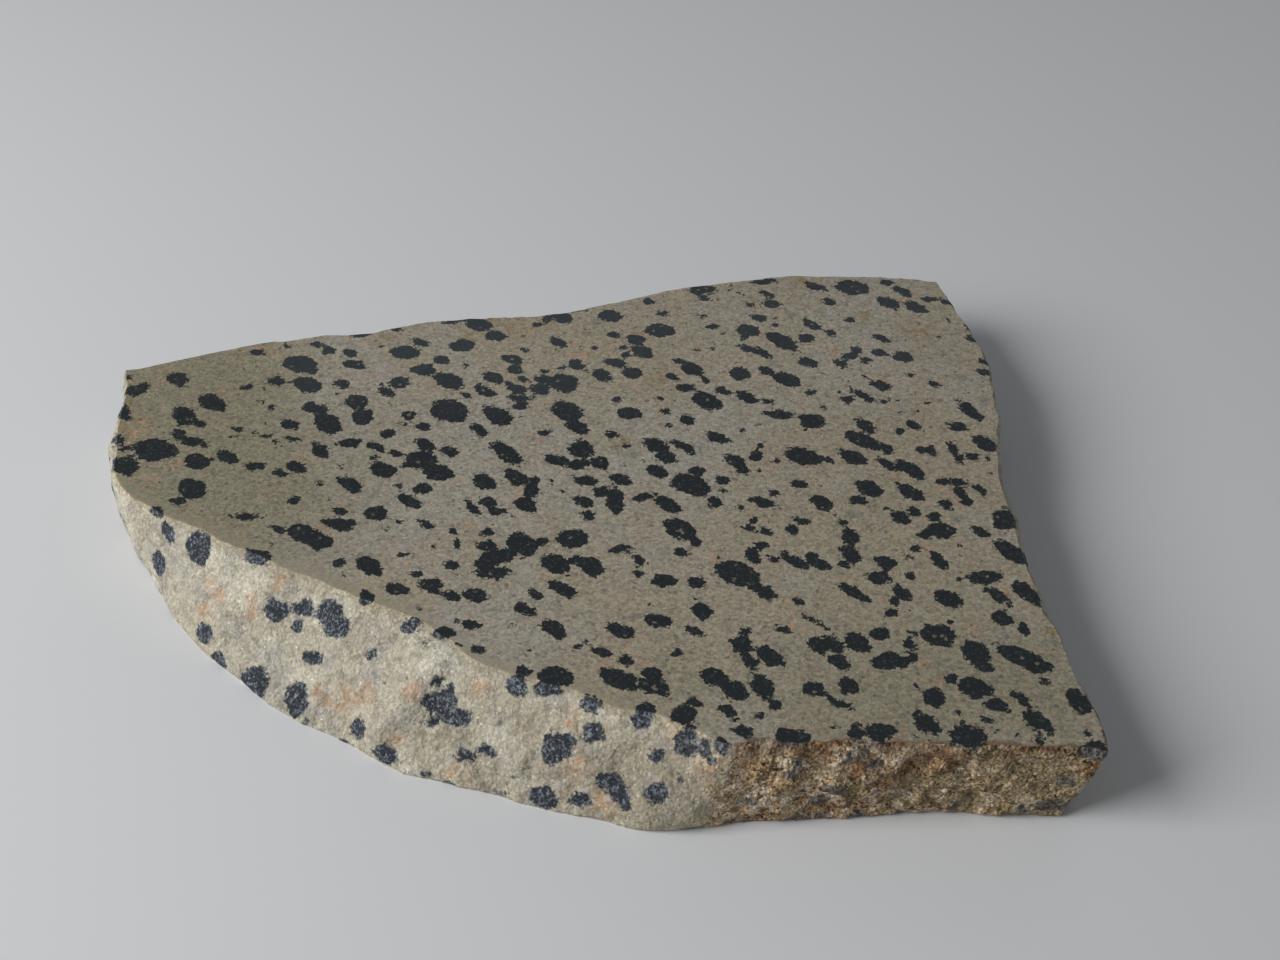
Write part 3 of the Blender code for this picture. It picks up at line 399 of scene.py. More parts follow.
# Orange-brown stains on the broken front face: middle and radius
STAINS = (
    ((-34.3, -13.0, 5.8), 1.0), ((-33.1, -14.2, 5.6), 0.8), ((-29.7, -15.8, 6.2), 0.8),
    ((-29.4, -16.5, 5.6), 0.9), ((-26.5, -15.4, 8.7), 0.8), ((-18.9, -25.8, 2.9), 1.2),
    ((-20.7, -25.5, 2.1), 0.9), ((-16.8, -26.1, 4.2), 1.0), ((-22.1, -24.3, 2.3), 0.8),
    ((-11.9, -28.0, 6.7), 1.0), ((-5.4, -29.0, 7.8), 1.0), ((-13.9, -30.5, 2.8), 1.0),
    ((-7.9, -33.9, 1.7), 1.0), ((-7.0, -34.4, 1.3), 0.9), ((3.2, -32.6, 7.7), 0.9),
    ((3.7, -35.2, 4.6), 1.0), ((6.3, -37.6, 1.9), 1.1), ((12.7, -35.1, 9.1), 1.0),
    ((15.7, -37.7, 6.7), 1.3), ((-35.1, -14.4, 3.9), 0.9),
)

# Rust on the joint face: middle and radius
RUST_PATCHES = (
    ((17.0, -37.7, 8.4), 0.7), ((18.2, -37.7, 8.6), 0.9), ((19.3, -37.5, 8.9), 1.0),
    ((20.2, -36.9, 9.0), 1.1), ((20.8, -36.7, 9.1), 0.9), ((24.5, -37.3, 8.6), 0.9),
    ((26.0, -37.0, 8.9), 1.0), ((27.2, -36.7, 9.2), 0.9), ((34.5, -36.9, 9.3), 0.9),
    ((35.7, -37.1, 8.5), 1.4), ((37.1, -37.2, 7.8), 1.4), ((38.4, -37.0, 6.9), 1.2),
    ((41.9, -37.0, 9.2), 0.6), ((42.8, -37.0, 9.1), 0.7), ((43.9, -37.1, 9.2), 0.8),
    ((44.9, -37.3, 8.9), 0.7), ((49.2, -37.8, 8.2), 1.0), ((50.1, -38.0, 7.4), 1.1),
    ((50.5, -38.1, 6.6), 0.9), ((29.5, -37.8, 6.9), 1.2), ((31.4, -38.0, 5.6), 1.1),
    ((33.7, -37.2, 6.0), 1.2),
)

# Ochre stains of the upper cut: middle and radius
OCHRE_STAINS = (
    ((-48.7, 8.8, 9.5), 1.4), ((-48.9, 13.2, 9.5), 1.2), ((-49.6, 16.9, 9.5), 1.0),
    ((-47.0, 10.2, 9.5), 1.0),
    ((-5.2, 28.0, 9.5), 1.6), ((-8.6, 30.2, 9.5), 1.5), ((-10.6, 26.4, 9.5), 1.2),
    ((11.6, 17.9, 9.5), 1.5), ((30.5, 39.4, 9.5), 1.4), ((36.4, 30.4, 9.5), 1.6),
    ((43.0, 27.0, 9.5), 1.8), ((23.2, 33.6, 9.5), 1.2), ((7.6, 6.0, 9.5), 1.5),
    ((49.3, -22.6, 9.5), 0.8), ((-1.5, 29.0, 9.5), 1.2), ((-21.5, 26.5, 9.5), 1.4),
)

# Where spots that aren't listed lie: how many, and the middle of their widths
SMALL_TOP_SPOTS = (110, 0.45)
BASE_SPOTS = (300, 1.6)
BACK_SPOTS = (120, 1.6)
LEFT_END_SPOTS = (16, 1.7)

# The rows of the edge that have such spots, how many columns past the right corner the
# back ones start, and the columns of the left end
SPOT_ROWS = slice(6, -5)
BACK_MARGIN = 6
LEFT_END_COLUMNS = slice(2, 42)

# Their widths, the spread of the widths, how long they are for their width, how their
# length is turned, and the gap they keep, as a share of the middle width
SPOT_WIDTHS = (0.3, 3.4)
SPOT_WIDTH_SPREAD = 0.38
SPOT_STRETCH = (1.0, 1.8)
SPOT_TURN = -45.0
SPOT_TURN_SPREAD = 18.0
SPOT_CLEARANCE = 0.25
SPOT_SEED = 5

# How deep a placed spot goes as a share of its width. On the left tip and the joint face
# it goes less deep, so that it shows on the cut and hardly on the edge.
SPOT_DEPTH = 0.5
SHALLOW_DEPTH = 0.34
LEFT_TIP_X = -45.0

# The noise that gives spots their lobes, and the greatest distance that is measured
LOBES = ((2.0, 0.2), (1.0, 0.16))
LOBE_SEED = 91
REACH = 3.0

# How many points are measured against a line at once
BATCH = 4096

# Edges of the surface that turn by more than this many degrees are sharp
SHARP_ANGLE = 50.0

# Sizes of the grains: the light and dark ones of the cuts, the coarse and fine sugar of
# the break and the crumbs of the crust
SALT = 0.34
PEPPER = 0.19
SUGAR = 0.36
FINE_SUGAR = 0.2
CRUMBS = 0.6

# How softly a spot's outline fades on each face, how far the finest grains move it, how
# glossy the stone is, and the share of its blue that the grain of the cuts leaves
SAWN_SPOT_FADE = 0.07
BROKEN_SPOT_FADE = 0.16
FINE_RAGGEDNESS = 0.12
STONE_SPECULAR = 0.35
CUT_BLUE = 0.995

# The lights, in metres: name, place, size and colour
LIGHTS = (
    ("window", (-0.4, -0.14, 0.31), (0.32, 0.32), (0.98, 0.99, 1.0)),
    ("back_sky", (0.35, 0.8, 0.45), (0.7, 0.4), (0.86, 0.93, 1.0)),
)
ROOM_COLOUR = (0.95, 0.97, 1.0, 1.0)

# The camera's place, the angle that it looks down, its lens and, in metres, the nearest
# thing that it shows
CAMERA_PLACE = (9.67, -131.45, 119.5)
CAMERA_PITCH = 40.0
CAMERA_LENS = 45.0
SENSOR_WIDTH = 36.0
CLIP_START = 0.005


def ease(t):
    """The smooth step 3t^2 - 2t^3, held at 0 below and at 1 above."""
    t = np.clip(t, 0, 1)
    return t * t * (3 - 2 * t)


def bell(points, middle, radii, sharpness=1.0):
    """A bell exp(-s d^2), with d the distance from its middle in units of its radii."""
    reach = (points - np.array(middle)) / np.array(radii)
    return np.exp(-sharpness * (reach**2).sum(axis=-1))


def unit(vectors):
    """Vectors brought to length 1."""
    return vectors / np.linalg.norm(vectors, axis=-1)[..., None]


def on_cut(points, height):
    """Which points lie on the level cut at this height."""
    return np.abs(points[:, 2] - height) < CUT_GAP


def lattice_value(ix, iy, iz, seed):
    """A fixed random number from -1 to 1 for each lattice corner, by mixing its indices."""
    a, b, c, d = LATTICE_FACTORS
    mixed = (ix * a ^ iy * b ^ iz * c ^ seed * d) & LATTICE_MASK
    for step, factor in LATTICE_STEPS:
        mixed = ((mixed ^ (mixed >> step)) * factor) & LATTICE_MASK
    mixed = (mixed ^ (mixed >> LATTICE_LAST_STEP)) & LATTICE_MASK
    return mixed / LATTICE_MASK * 2 - 1


def noise(points, size, seed):
    """Smooth noise from -1 to 1: the corner values of a cubic lattice, blended by ease."""
    scaled = points / size
    cell = np.floor(scaled).astype(np.int64)
    near = ease(scaled - cell)
    total = 0
    for corner in np.ndindex(2, 2, 2):
        weight = np.where(corner, near, 1 - near).prod(axis=-1)
        total = total + lattice_value(*np.moveaxis(cell + corner, -1, 0), seed) * weight
    return total


def layered_noise(points, layers, seed):
    """The noise of each layer, times its height."""
    return [high * noise(points, size, seed + k) for k, (size, high) in enumerate(layers)]


def cut_rims(node):
    """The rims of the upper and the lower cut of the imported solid, as plan points in step.

    The solid's corners at a cut's height are its rim. They are put in order by their
    angle round the slab's middle, and the lower rim is rolled until it lies closest to
    the upper one."""
    places = np.empty(len(node.data.vertices) * 3)
    node.data.vertices.foreach_get("co", places)
    places = places.reshape(-1, 3) / MM
    rims = []
    for height in (THICKNESS, 0.0):
        level = np.unique(places[on_cut(places, height), :2].round(3), axis=0)
        rims.append(level[np.argsort(np.arctan2(level[:, 1], level[:, 0]))] + SHIFT[:2])
    top, base = rims
    gaps = [np.abs(np.roll(base, k, axis=0) - top).sum() for k in range(len(base))]
    return top, np.roll(base, int(np.argmin(gaps)), axis=0)


def column_places(top):
    """Where each column of the edge lies along the rim, counted in the rim's own points.

    Columns are evenly spread between the corners of the slab, starting at the left tip."""
    count = len(top)
    marks = [int(np.argmin(np.linalg.norm(top - corner, axis=1))) for corner in CORNERS]
    steps = [(b - a) % count for a, b in zip(marks, marks[1:] + marks[:1])]
    sides = [a + step * np.arange(n) / n for a, step, n in zip(marks, steps, SIDE_COLUMNS)]
    return np.concatenate(sides) % count


def along_rim(rim, places):
    """The rim's points at fractional places along it, by straight lines between its points."""
    closed = np.vstack([rim, rim[:1]])
    index = np.arange(len(closed))
    return np.column_stack([np.interp(places, index, closed[:, k]) for k in (0, 1)])


def outward(flat):
    """Unit vectors square to a closed plan line, pointing out of it."""
    along = np.roll(flat, -2, axis=0) - np.roll(flat, 2, axis=0)
    return unit(np.column_stack([along[:, 1], -along[:, 0]]))


def weathering(points):
    """1 on the weathered joint face and 0 on the clean breaks, with a smooth step between."""
    x, y = points[..., 0], points[..., 1]
    start = ease((x - JOINT_FACE_START) / JOINT_FACE_BLEND)
    end = ease((JOINT_FACE_END - x) / JOINT_FACE_BLEND)
    return start * end * (y < 0)


def crusting(points):
    """1 where the joint face is crusted and 0 on clean stone: it starts along the front face
    and ends round the right corner, with smooth steps."""
    x, y = points[..., 0], points[..., 1]
    return ease((x - CRUST_START) / CRUST_BLEND) * ease((CRUST_BACK - y) / CRUST_BLEND)


def line_gap(points, line):
    """Distance from each point to a line through several places: the least of the distances to
    its straight stretches. On a stretch from a to b the nearest place is a + t (b - a), with
    t = (p - a).(b - a) / |b - a|^2 held between 0 and 1."""
    gaps = []
    for a, b in zip(np.array(line[:-1]), np.array(line[1:])):
        share = np.clip((points - a) @ (b - a) / ((b - a) ** 2).sum(), 0, 1)
        gaps.append(np.linalg.norm(points - a - share[..., None] * (b - a), axis=-1))
    return np.min(gaps, axis=0)


def pushed_rim(top):
    """The upper rim moved outwards by the sum of the bells of RIM_PUSHES."""
    amount = sum(height * bell(top, place, radius) for place, radius, height in RIM_PUSHES)
    return top + outward(top) * amount[:, None]


def relief(points, fade):
    """How far the broken face stands out of its smooth form: two kinds of noise, the forms and
    the ridges. A form is a bell, and a ridge is one across its line.

    The two coarse layers and the forms fade out at the cuts, as they do on the solid, and
    the fine layers run right up to them."""
    clean = layered_noise(points, CLEAN_BREAK, CLEAN_SEED)
    rough = layered_noise(points, WEATHERED, WEATHERED_SEED)
    worn = weathering(points)
    coarse = sum(clean[:2]) * (1 - worn) + sum(rough[:2]) * worn
    fine = sum(clean[2:]) * (1 - worn) + sum(rough[2:]) * worn
    for middle, radii, height in FORMS:
        coarse = coarse + height * bell(points, middle, radii, FORM_SHARPNESS)
    for line, radius, height in RIDGES:
        reach = line_gap(points, line)[..., None]
        coarse = coarse + height * bell(reach, 0.0, radius, FORM_SHARPNESS)
    upper = ease(points[..., 2] / BASE_RELIEF_HEIGHT)
    return coarse * fade + fine * (BASE_RELIEF + (1 - BASE_RELIEF) * upper)


def edge_surface(node):
    """The slab's edge as a grid of points: columns round the slab by rows up from the base.

    A point is straight between the two rims at its share s of the height, moved outwards
    by the belly 4s(1-s) and by what the chamfer leaves, then by the relief along the
    normal. At the cuts themselves the relief is flat in plan, so that the cuts stay level."""
    top, base = cut_rims(node)
    top = pushed_rim(top)
    places = column_places(top)
    top, base = along_rim(top, places), along_rim(base, places)
    away = unit(outward(top) + outward(base))
    sides = zip(CORNER_BELLY, CORNER_BELLY[1:] + CORNER_BELLY[:1], SIDE_COLUMNS)
    belly = np.concatenate([np.linspace(a, b, n, endpoint=False) for a, b, n in sides])
    even = np.linspace(0, 1, EDGE_ROWS + 1)
    crowded = 0.5 - 0.5 * np.cos(np.pi * even)
    share = ((1 - ROW_CROWDING) * even + ROW_CROWDING * crowded)[:, None, None]
    cut_share = np.minimum(share, 1 - share)
    depth = cut_share * THICKNESS
    unworn = RIM_CHAMFER * ease(depth / (CHAMFER_DEPTH * RIM_CHAMFER))
    swell = 4 * share * (1 - share) * belly[None, :, None]
    plan = base * (1 - share) + top * share + away * (swell + unworn)
    height = np.broadcast_to(share * THICKNESS, plan.shape[:2] + (1,))
    face = np.concatenate([plan, height], axis=2)
    along = np.roll(face, -1, axis=1) - np.roll(face, 1, axis=1)
    normal = unit(np.cross(along, np.gradient(face, axis=0)))
    flat = np.concatenate([away, np.zeros((len(away), 1))], axis=1)
    level = 1 - ease(depth / LEVEL_DEPTH)
    direction = normal * (1 - level) + flat * level
    fade = np.clip(cut_share[..., 0] / RELIEF_FADE, 0, 1)
    chips = sum(high * np.abs(noise(face, size, RIM_CHIP_SEED)) for size, high in RIM_CHIPS)
    chips = chips * level[..., 0] * (CLEAN_CHIPS + (1 - CLEAN_CHIPS) * weathering(face))
    moved = face + direction * (relief(face, fade) - chips)[..., None]
    moved[0, :, 2] = 0.0
    moved[-1, :, 2] = THICKNESS
    return moved


def lay_rim(grid, rim):
    """Puts a cut's closed rim round the four sides of its grid, corner by corner."""
    closed = np.concatenate([rim, rim[:1]])
    grid[:, 0] = closed[: SHORT_SIDE_COLUMNS + 1][::-1]
    grid[0] = closed[SHORT_SIDE_COLUMNS : FRONT_COLUMNS + 1]
    grid[:, -1] = closed[FRONT_COLUMNS : FRONT_COLUMNS + SHORT_SIDE_COLUMNS + 1]
    grid[-1] = closed[FRONT_COLUMNS + SHORT_SIDE_COLUMNS :][::-1]
    return grid


def cut_surface(rim):
    """A level cut as a grid between the four sides of its rim.

    Each inner point is the mean of its four neighbours, which is Laplace's equation. With
    sine waves as the basis along both directions it comes apart into one number for each
    pair of waves: minus the sides' share over the sum of the two waves' stiffnesses."""
    sides = (SHORT_SIDE_COLUMNS, LONG_SIDE_COLUMNS)
    grid = lay_rim(np.zeros((sides[0] + 1, sides[1] + 1, rim.shape[1])), rim)
    known = grid[:-2, 1:-1] + grid[2:, 1:-1] + grid[1:-1, :-2] + grid[1:-1, 2:]
    waves = []
    for steps in sides:
        order = np.arange(1, steps)
        basis = np.sqrt(2 / steps) * np.sin(np.pi * np.outer(order, order) / steps)
        waves.append((basis, 2 - 2 * np.cos(np.pi * order / steps)))
    (across, stiff_across), (along, stiff_along) = waves
    shares = np.einsum("ij,jkc,kl->ilc", across, known, along, optimize=True)
    shares /= (stiff_across[:, None] + stiff_along)[..., None]
    grid[1:-1, 1:-1] = np.einsum("ij,jkc,kl->ilc", across, shares, along, optimize=True)
    return grid


def cut_index(rim_index, inner_start):
    """Vertex numbers of a cut's grid: the rim's own vertices round it and new ones inside."""
    index = np.empty((SHORT_SIDE_COLUMNS + 1, LONG_SIDE_COLUMNS + 1), int)
    inner = index[1:-1, 1:-1]
    inner[:] = inner_start + np.arange(inner.size).reshape(inner.shape)
    return lay_rim(index, rim_index)


def grid_faces(index):
    """Quads between the neighbours of a grid of vertex numbers."""
    corners = (index[:-1, :-1], index[:-1, 1:], index[1:, 1:], index[1:, :-1])
    return np.stack(corners, axis=-1).reshape(-1, 4)


def slab_surface(node):
    """The slab's points and faces, the edge's first, and the grid of the edge's points."""
    edge = edge_surface(node)
    index = np.arange(edge[..., 0].size).reshape(edge.shape[:2])
    inner = [cut_surface(edge[row])[1:-1, 1:-1].reshape(-1, 3) for row in (-1, 0)]
    points = np.vstack([edge.reshape(-1, 3), *inner])
    band = grid_faces(np.hstack([index, index[:, :1]]))
    top = grid_faces(cut_index(index[-1], index.size))
    base = grid_faces(cut_index(index[0], index.size + len(inner[0])))[:, ::-1]
    return points, np.vstack([band, top, base]), edge


def plan_blobs(spots, height):
    """Blobs of listed spots on a cut: middle, half length, half width, half depth and turn."""
    x, y, long, wide, turn = np.array(spots, float).T
    shallow = ((x > JOINT_FACE_START) & (y < JOINT_FACE_Y)) | (x < LEFT_TIP_X)
    deep = wide * np.where(shallow, SHALLOW_DEPTH, SPOT_DEPTH)
    height = np.full(len(x), height)
    return np.column_stack([x, y, height, long / 2, wide / 2, deep, np.radians(turn)])


def face_blobs(spots):
    """Blobs of the listed spots on the front face, as deep as they are tall."""
    return np.array([(*middle, wide / 2, tall / 2, tall / 2, 0.0) for middle, wide, tall in spots])


def scatter(random, places, count, width, taken):
    """Blobs at random places of a surface, clear of each other and of those already there.

    Widths follow a log-normal law, lengths are one to nearly two widths, and the lengths
    lie near the direction in which the spots of this stone are drawn out."""
    blobs = list(taken)
    for place in places[random.permutation(len(places))]:
        spread = np.exp(random.normal(0, SPOT_WIDTH_SPREAD))
        half = 0.5 * np.clip(width * spread, *SPOT_WIDTHS)
        long = half * random.uniform(*SPOT_STRETCH)
        near = np.array(blobs)
        gap = np.linalg.norm(near[:, :3] - place, axis=1) - near[:, 3] - long
        if gap.min() > SPOT_CLEARANCE * width:
            turn = np.radians(random.normal(SPOT_TURN, SPOT_TURN_SPREAD))
            blobs.append((*place, long, half, half, turn))
        if len(blobs) == len(taken) + count:
            break
    return np.array(blobs)


def all_blobs(points, edge):
    """Every black spot of the stone, as blobs that go on below the surface."""
    random = np.random.default_rng(SPOT_SEED)
    blobs = np.vstack([plan_blobs(TOP_SPOTS, THICKNESS), face_blobs(FRONT_SPOTS)])
    rows = edge[SPOT_ROWS]
    for places, spots in (
        (rows[:, FRONT_COLUMNS + BACK_MARGIN :].reshape(-1, 3), BACK_SPOTS),
        (points[on_cut(points, 0.0)], BASE_SPOTS),
        (points[on_cut(points, THICKNESS)], SMALL_TOP_SPOTS),
        (rows[:, LEFT_END_COLUMNS].reshape(-1, 3), LEFT_END_SPOTS),
    ):
        blobs = scatter(random, places, *spots, blobs)
    return blobs


def blob_distance(points, blobs):
    """Signed distance to the nearest blob, below nought inside it, up to REACH.

    A blob is an ellipsoid, turned about the vertical. With q the point's distance from
    its middle in units of its radii, the distance is (q - 1) times its least radius."""
    nearest = np.full(len(points), REACH)
    for x, y, z, long, wide, deep, turn in blobs:
        offset = points - (x, y, z)
        close = np.flatnonzero(np.abs(offset).max(axis=1) < long + REACH)
        px, py, pz = offset[close].T
        u = (px * np.cos(turn) + py * np.sin(turn)) / long
        v = (py * np.cos(turn) - px * np.sin(turn)) / wide
        q = np.sqrt(u * u + v * v + (pz / deep) ** 2)
        nearest[close] = np.minimum(nearest[close], (q - 1) * min(wide, deep))
    return nearest


def warped(points):
    """Points pushed about by smooth noise, which gives round blobs their lobes."""
    moved = points.copy()
    for k, (size, high) in enumerate(LOBES):
        for axis in range(3):
            moved[:, axis] += high * noise(points, size, LOBE_SEED + 3 * k + axis)
    return moved


def line_distance(points, line):
    """Distance in plan from each point to the nearest of a line's points, up to REACH."""
    nearest = np.full(len(points), REACH)
    for start in range(0, len(points), BATCH):
        part = slice(start, start + BATCH)
        offsets = points[part, None, :2] - line[None, :, :2]
        nearest[part] = np.minimum(np.linalg.norm(offsets, axis=2).min(axis=1), REACH)
    return nearest


def stain_depth(points, stains):
    """How deep each point lies in a stain: 1 at a stain's middle, falling to nought round it."""
    return np.max([bell(points, middle, radius) for middle, radius in stains], axis=0)


def tone_shift(points, tones):
    """How much paler than usual each point is, and below nought how much darker: the sum of
    the bells of the table, each times its amount."""
    return sum(amount * bell(points, middle, radius) for middle, radius, amount in tones)


def surface_values(points, edge):
    """What the materials read at each point: how far it lies from the spots and the rims,
    and how deep in the crust, the stains and the tones."""
    moved = warped(points)
    depth = THICKNESS - points[:, 2]
    rim = edge[-1]
    crust_side = rim[(rim[:, 0] > JOINT_FACE_START) & (rim[:, 1] < CRUST_RIM_Y)]
    crust_rim = np.hypot(line_distance(points, crust_side), depth)
    front = rim[:FRONT_COLUMNS]
    break_side = front[(front[:, 0] < JOINT_FACE_START) & (front[:, 1] < BREAK_RIM_Y)]
    ghost = blob_distance(moved, plan_blobs(GHOST_SPOTS, THICKNESS))
    return {
        "spot": blob_distance(moved, all_blobs(points, edge)),
        "ghost": np.where(on_cut(points, THICKNESS), ghost, REACH),
        "crust": crusting(points),
        "break_rim": np.hypot(line_distance(points, break_side), depth),
        "crust_rim": np.where(points[:, 1] < RUST_LINE_Y, crust_rim, REACH),
        "stain": stain_depth(points, STAINS),
        # The pale tones of the break are partly a painted highlight along the crest, the spur and the
        # upper rim
        "tone": tone_shift(points, TONES_AND_HIGHLIGHTS),
        # The paler middle of the upper cut is partly a painted sheen
        "ground": tone_shift(points, GROUND_AND_SHEEN),
        "rust": stain_depth(points, RUST_PATCHES),
        "ochre": stain_depth(points, OCHRE_STAINS),
    }


class Shade:
    """One socket of a material. Arithmetic on it adds Math nodes, and make adds any other."""

    def __init__(self, tree, socket=None):
        self.tree = tree
        self.socket = socket

    def make(self, kind, settings=None, inputs=None, output=0):
        """Adds a node of this kind, with its settings first and then its inputs, and gives
        one of its outputs."""
        node = self.tree.nodes.new(kind)
        for name, value in (settings or {}).items():
            setattr(node, name, value)
        put(node, inputs or {})
        return Shade(self.tree, node.outputs[output])

    def maths(self, operation, *values):
        return self.make("ShaderNodeMath", {"operation": operation}, dict(enumerate(values)))

    def __add__(self, other):
        return self.maths("ADD", self, other)

    def __sub__(self, other):
        return self.maths("SUBTRACT", self, other)

    def __rsub__(self, other):
        return self.maths("SUBTRACT", other, self)

    def __mul__(self, other):
        return self.maths("MULTIPLY", self, other)

    __radd__ = __add__
    __rmul__ = __mul__

    def lesser(self, other):
        return self.maths("MINIMUM", self, other)

    def greater(self, other):
        return self.maths("MAXIMUM", self, other)

    def swing(self, width):
        """A number from 0 to 1 as one about nought, this wide in all."""
        return (self - 0.5) * width

    def rise(self, low, high):
        """0 at low and 1 at high, with a smooth step between. High may be below low."""
        inputs = {"Value": self, "From Min": low, "From Max": high}
        return self.make("ShaderNodeMapRange", {"interpolation_type": "SMOOTHSTEP"}, inputs)

    def mix(self, other, share, blend="MIX"):
        """This colour turned into the other by share, in the way that blend names. The other
        is a socket too, or red, green and blue."""
        settings = {"data_type": "RGBA", "blend_type": blend}
        other = other if isinstance(other, Shade) else (*other, 1.0)
        return self.make("ShaderNodeMix", settings, {0: share, 6: self, 7: other}, 2)

    def shaded(self, value, blue=1.0):
        """This colour times a number, with its blue times blue as well."""
        inputs = {0: value, 1: value, 2: value * blue}
        return self.mix(self.make("ShaderNodeCombineColor", {}, inputs), 1.0, "MULTIPLY")

    def colour(self, rgb):
        """A colour that is the same all over, to mix others into."""
        made = self.make("ShaderNodeRGB")
        made.socket.default_value = (*rgb, 1.0)
        return made

    def attribute(self, name):
        return self.make("ShaderNodeAttribute", {"attribute_name": name}, output="Fac")

    def stone_places(self):
        """The place in the stone in millimetres."""
        inputs = {0: self.make("ShaderNodeTexCoord", output="Object"), "Scale": 1 / MM}
        return self.make("ShaderNodeVectorMath", {"operation": "SCALE"}, inputs)

    def axis(self, name):
        """A place's number along the axis X, Y or Z."""
        return self.make("ShaderNodeSeparateXYZ", {}, {0: self}, name)

    def cloud(self, size, detail=2.0, roughness=0.5, distortion=0.0):
        """Soft noise about 0.5, with features of this size in millimetres. Called on a place."""
        inputs = {"Vector": self, "Scale": 1 / size, "Detail": detail, "Roughness": roughness,
                  "Distortion": distortion}
        return self.make("ShaderNodeTexNoise", {"normalize": True}, inputs, "Fac")

    def cells(self, size, output):
        """One output of a pattern of grains of this size. Called on a place."""
        return self.make("ShaderNodeTexVoronoi", {}, {"Vector": self, "Scale": 1 / size}, output)

    def grains(self, size):
        """Random numbers from 0 to 1, three to each grain of this size. Called on a place."""
        parts = self.make("ShaderNodeSeparateColor", {}, {0: self.cells(size, "Color")})
        return [Shade(self.tree, socket) for socket in parts.socket.node.outputs]

    def grain_shape(self, size):
        """Distance to the middle of each grain, in units of the grain's size. Called on a place."""
        return self.cells(size, "Distance")

    def bump(self, strength):
        """The normal of a surface that has this height in millimetres."""
        inputs = {"Strength": strength, "Distance": MM, "Height": self}
        return self.make("ShaderNodeBump", {}, inputs)


def new_material(name):
    """A material with one shader, which is given back with the tree's first wrapper."""
    material = bpy.data.materials.new(name)
    material.use_nodes = True
    tree = material.node_tree
    return material, tree.nodes["Principled BSDF"], Shade(tree)


def put(node, inputs):
    """Sets or links a node's inputs by their names or numbers."""
    for key, value in inputs.items():
        if isinstance(value, Shade):
            value.tree.links.new(value.socket, node.inputs[key])
        else:
            node.inputs[key].default_value = value


def spot_mask(start, place, settings, fade):
    """How black the stone is, from 0 to 1.

    The distance to the nearest blob is roughened by soft noise and by a random step for
    each grain, so that the outline follows the grains as it does in the real stone. A few
    grains inside a spot stay paler."""
    coarse, fine = place.grains(SUGAR), place.grains(PEPPER)
    ragged = start.attribute("spot") + place.cloud(1.0, 3.0, 0.6).swing(settings.spot_lobes)
    ragged = ragged - settings.spot_growth + coarse[0].swing(settings.spot_ragged)
    ragged = ragged + fine[0].swing(FINE_RAGGEDNESS)
    paler = coarse[1].rise(0.975, 0.985) * ragged.rise(-0.3, -0.6)
    return ragged.rise(fade, -fade) * (1 - paler * 0.45)


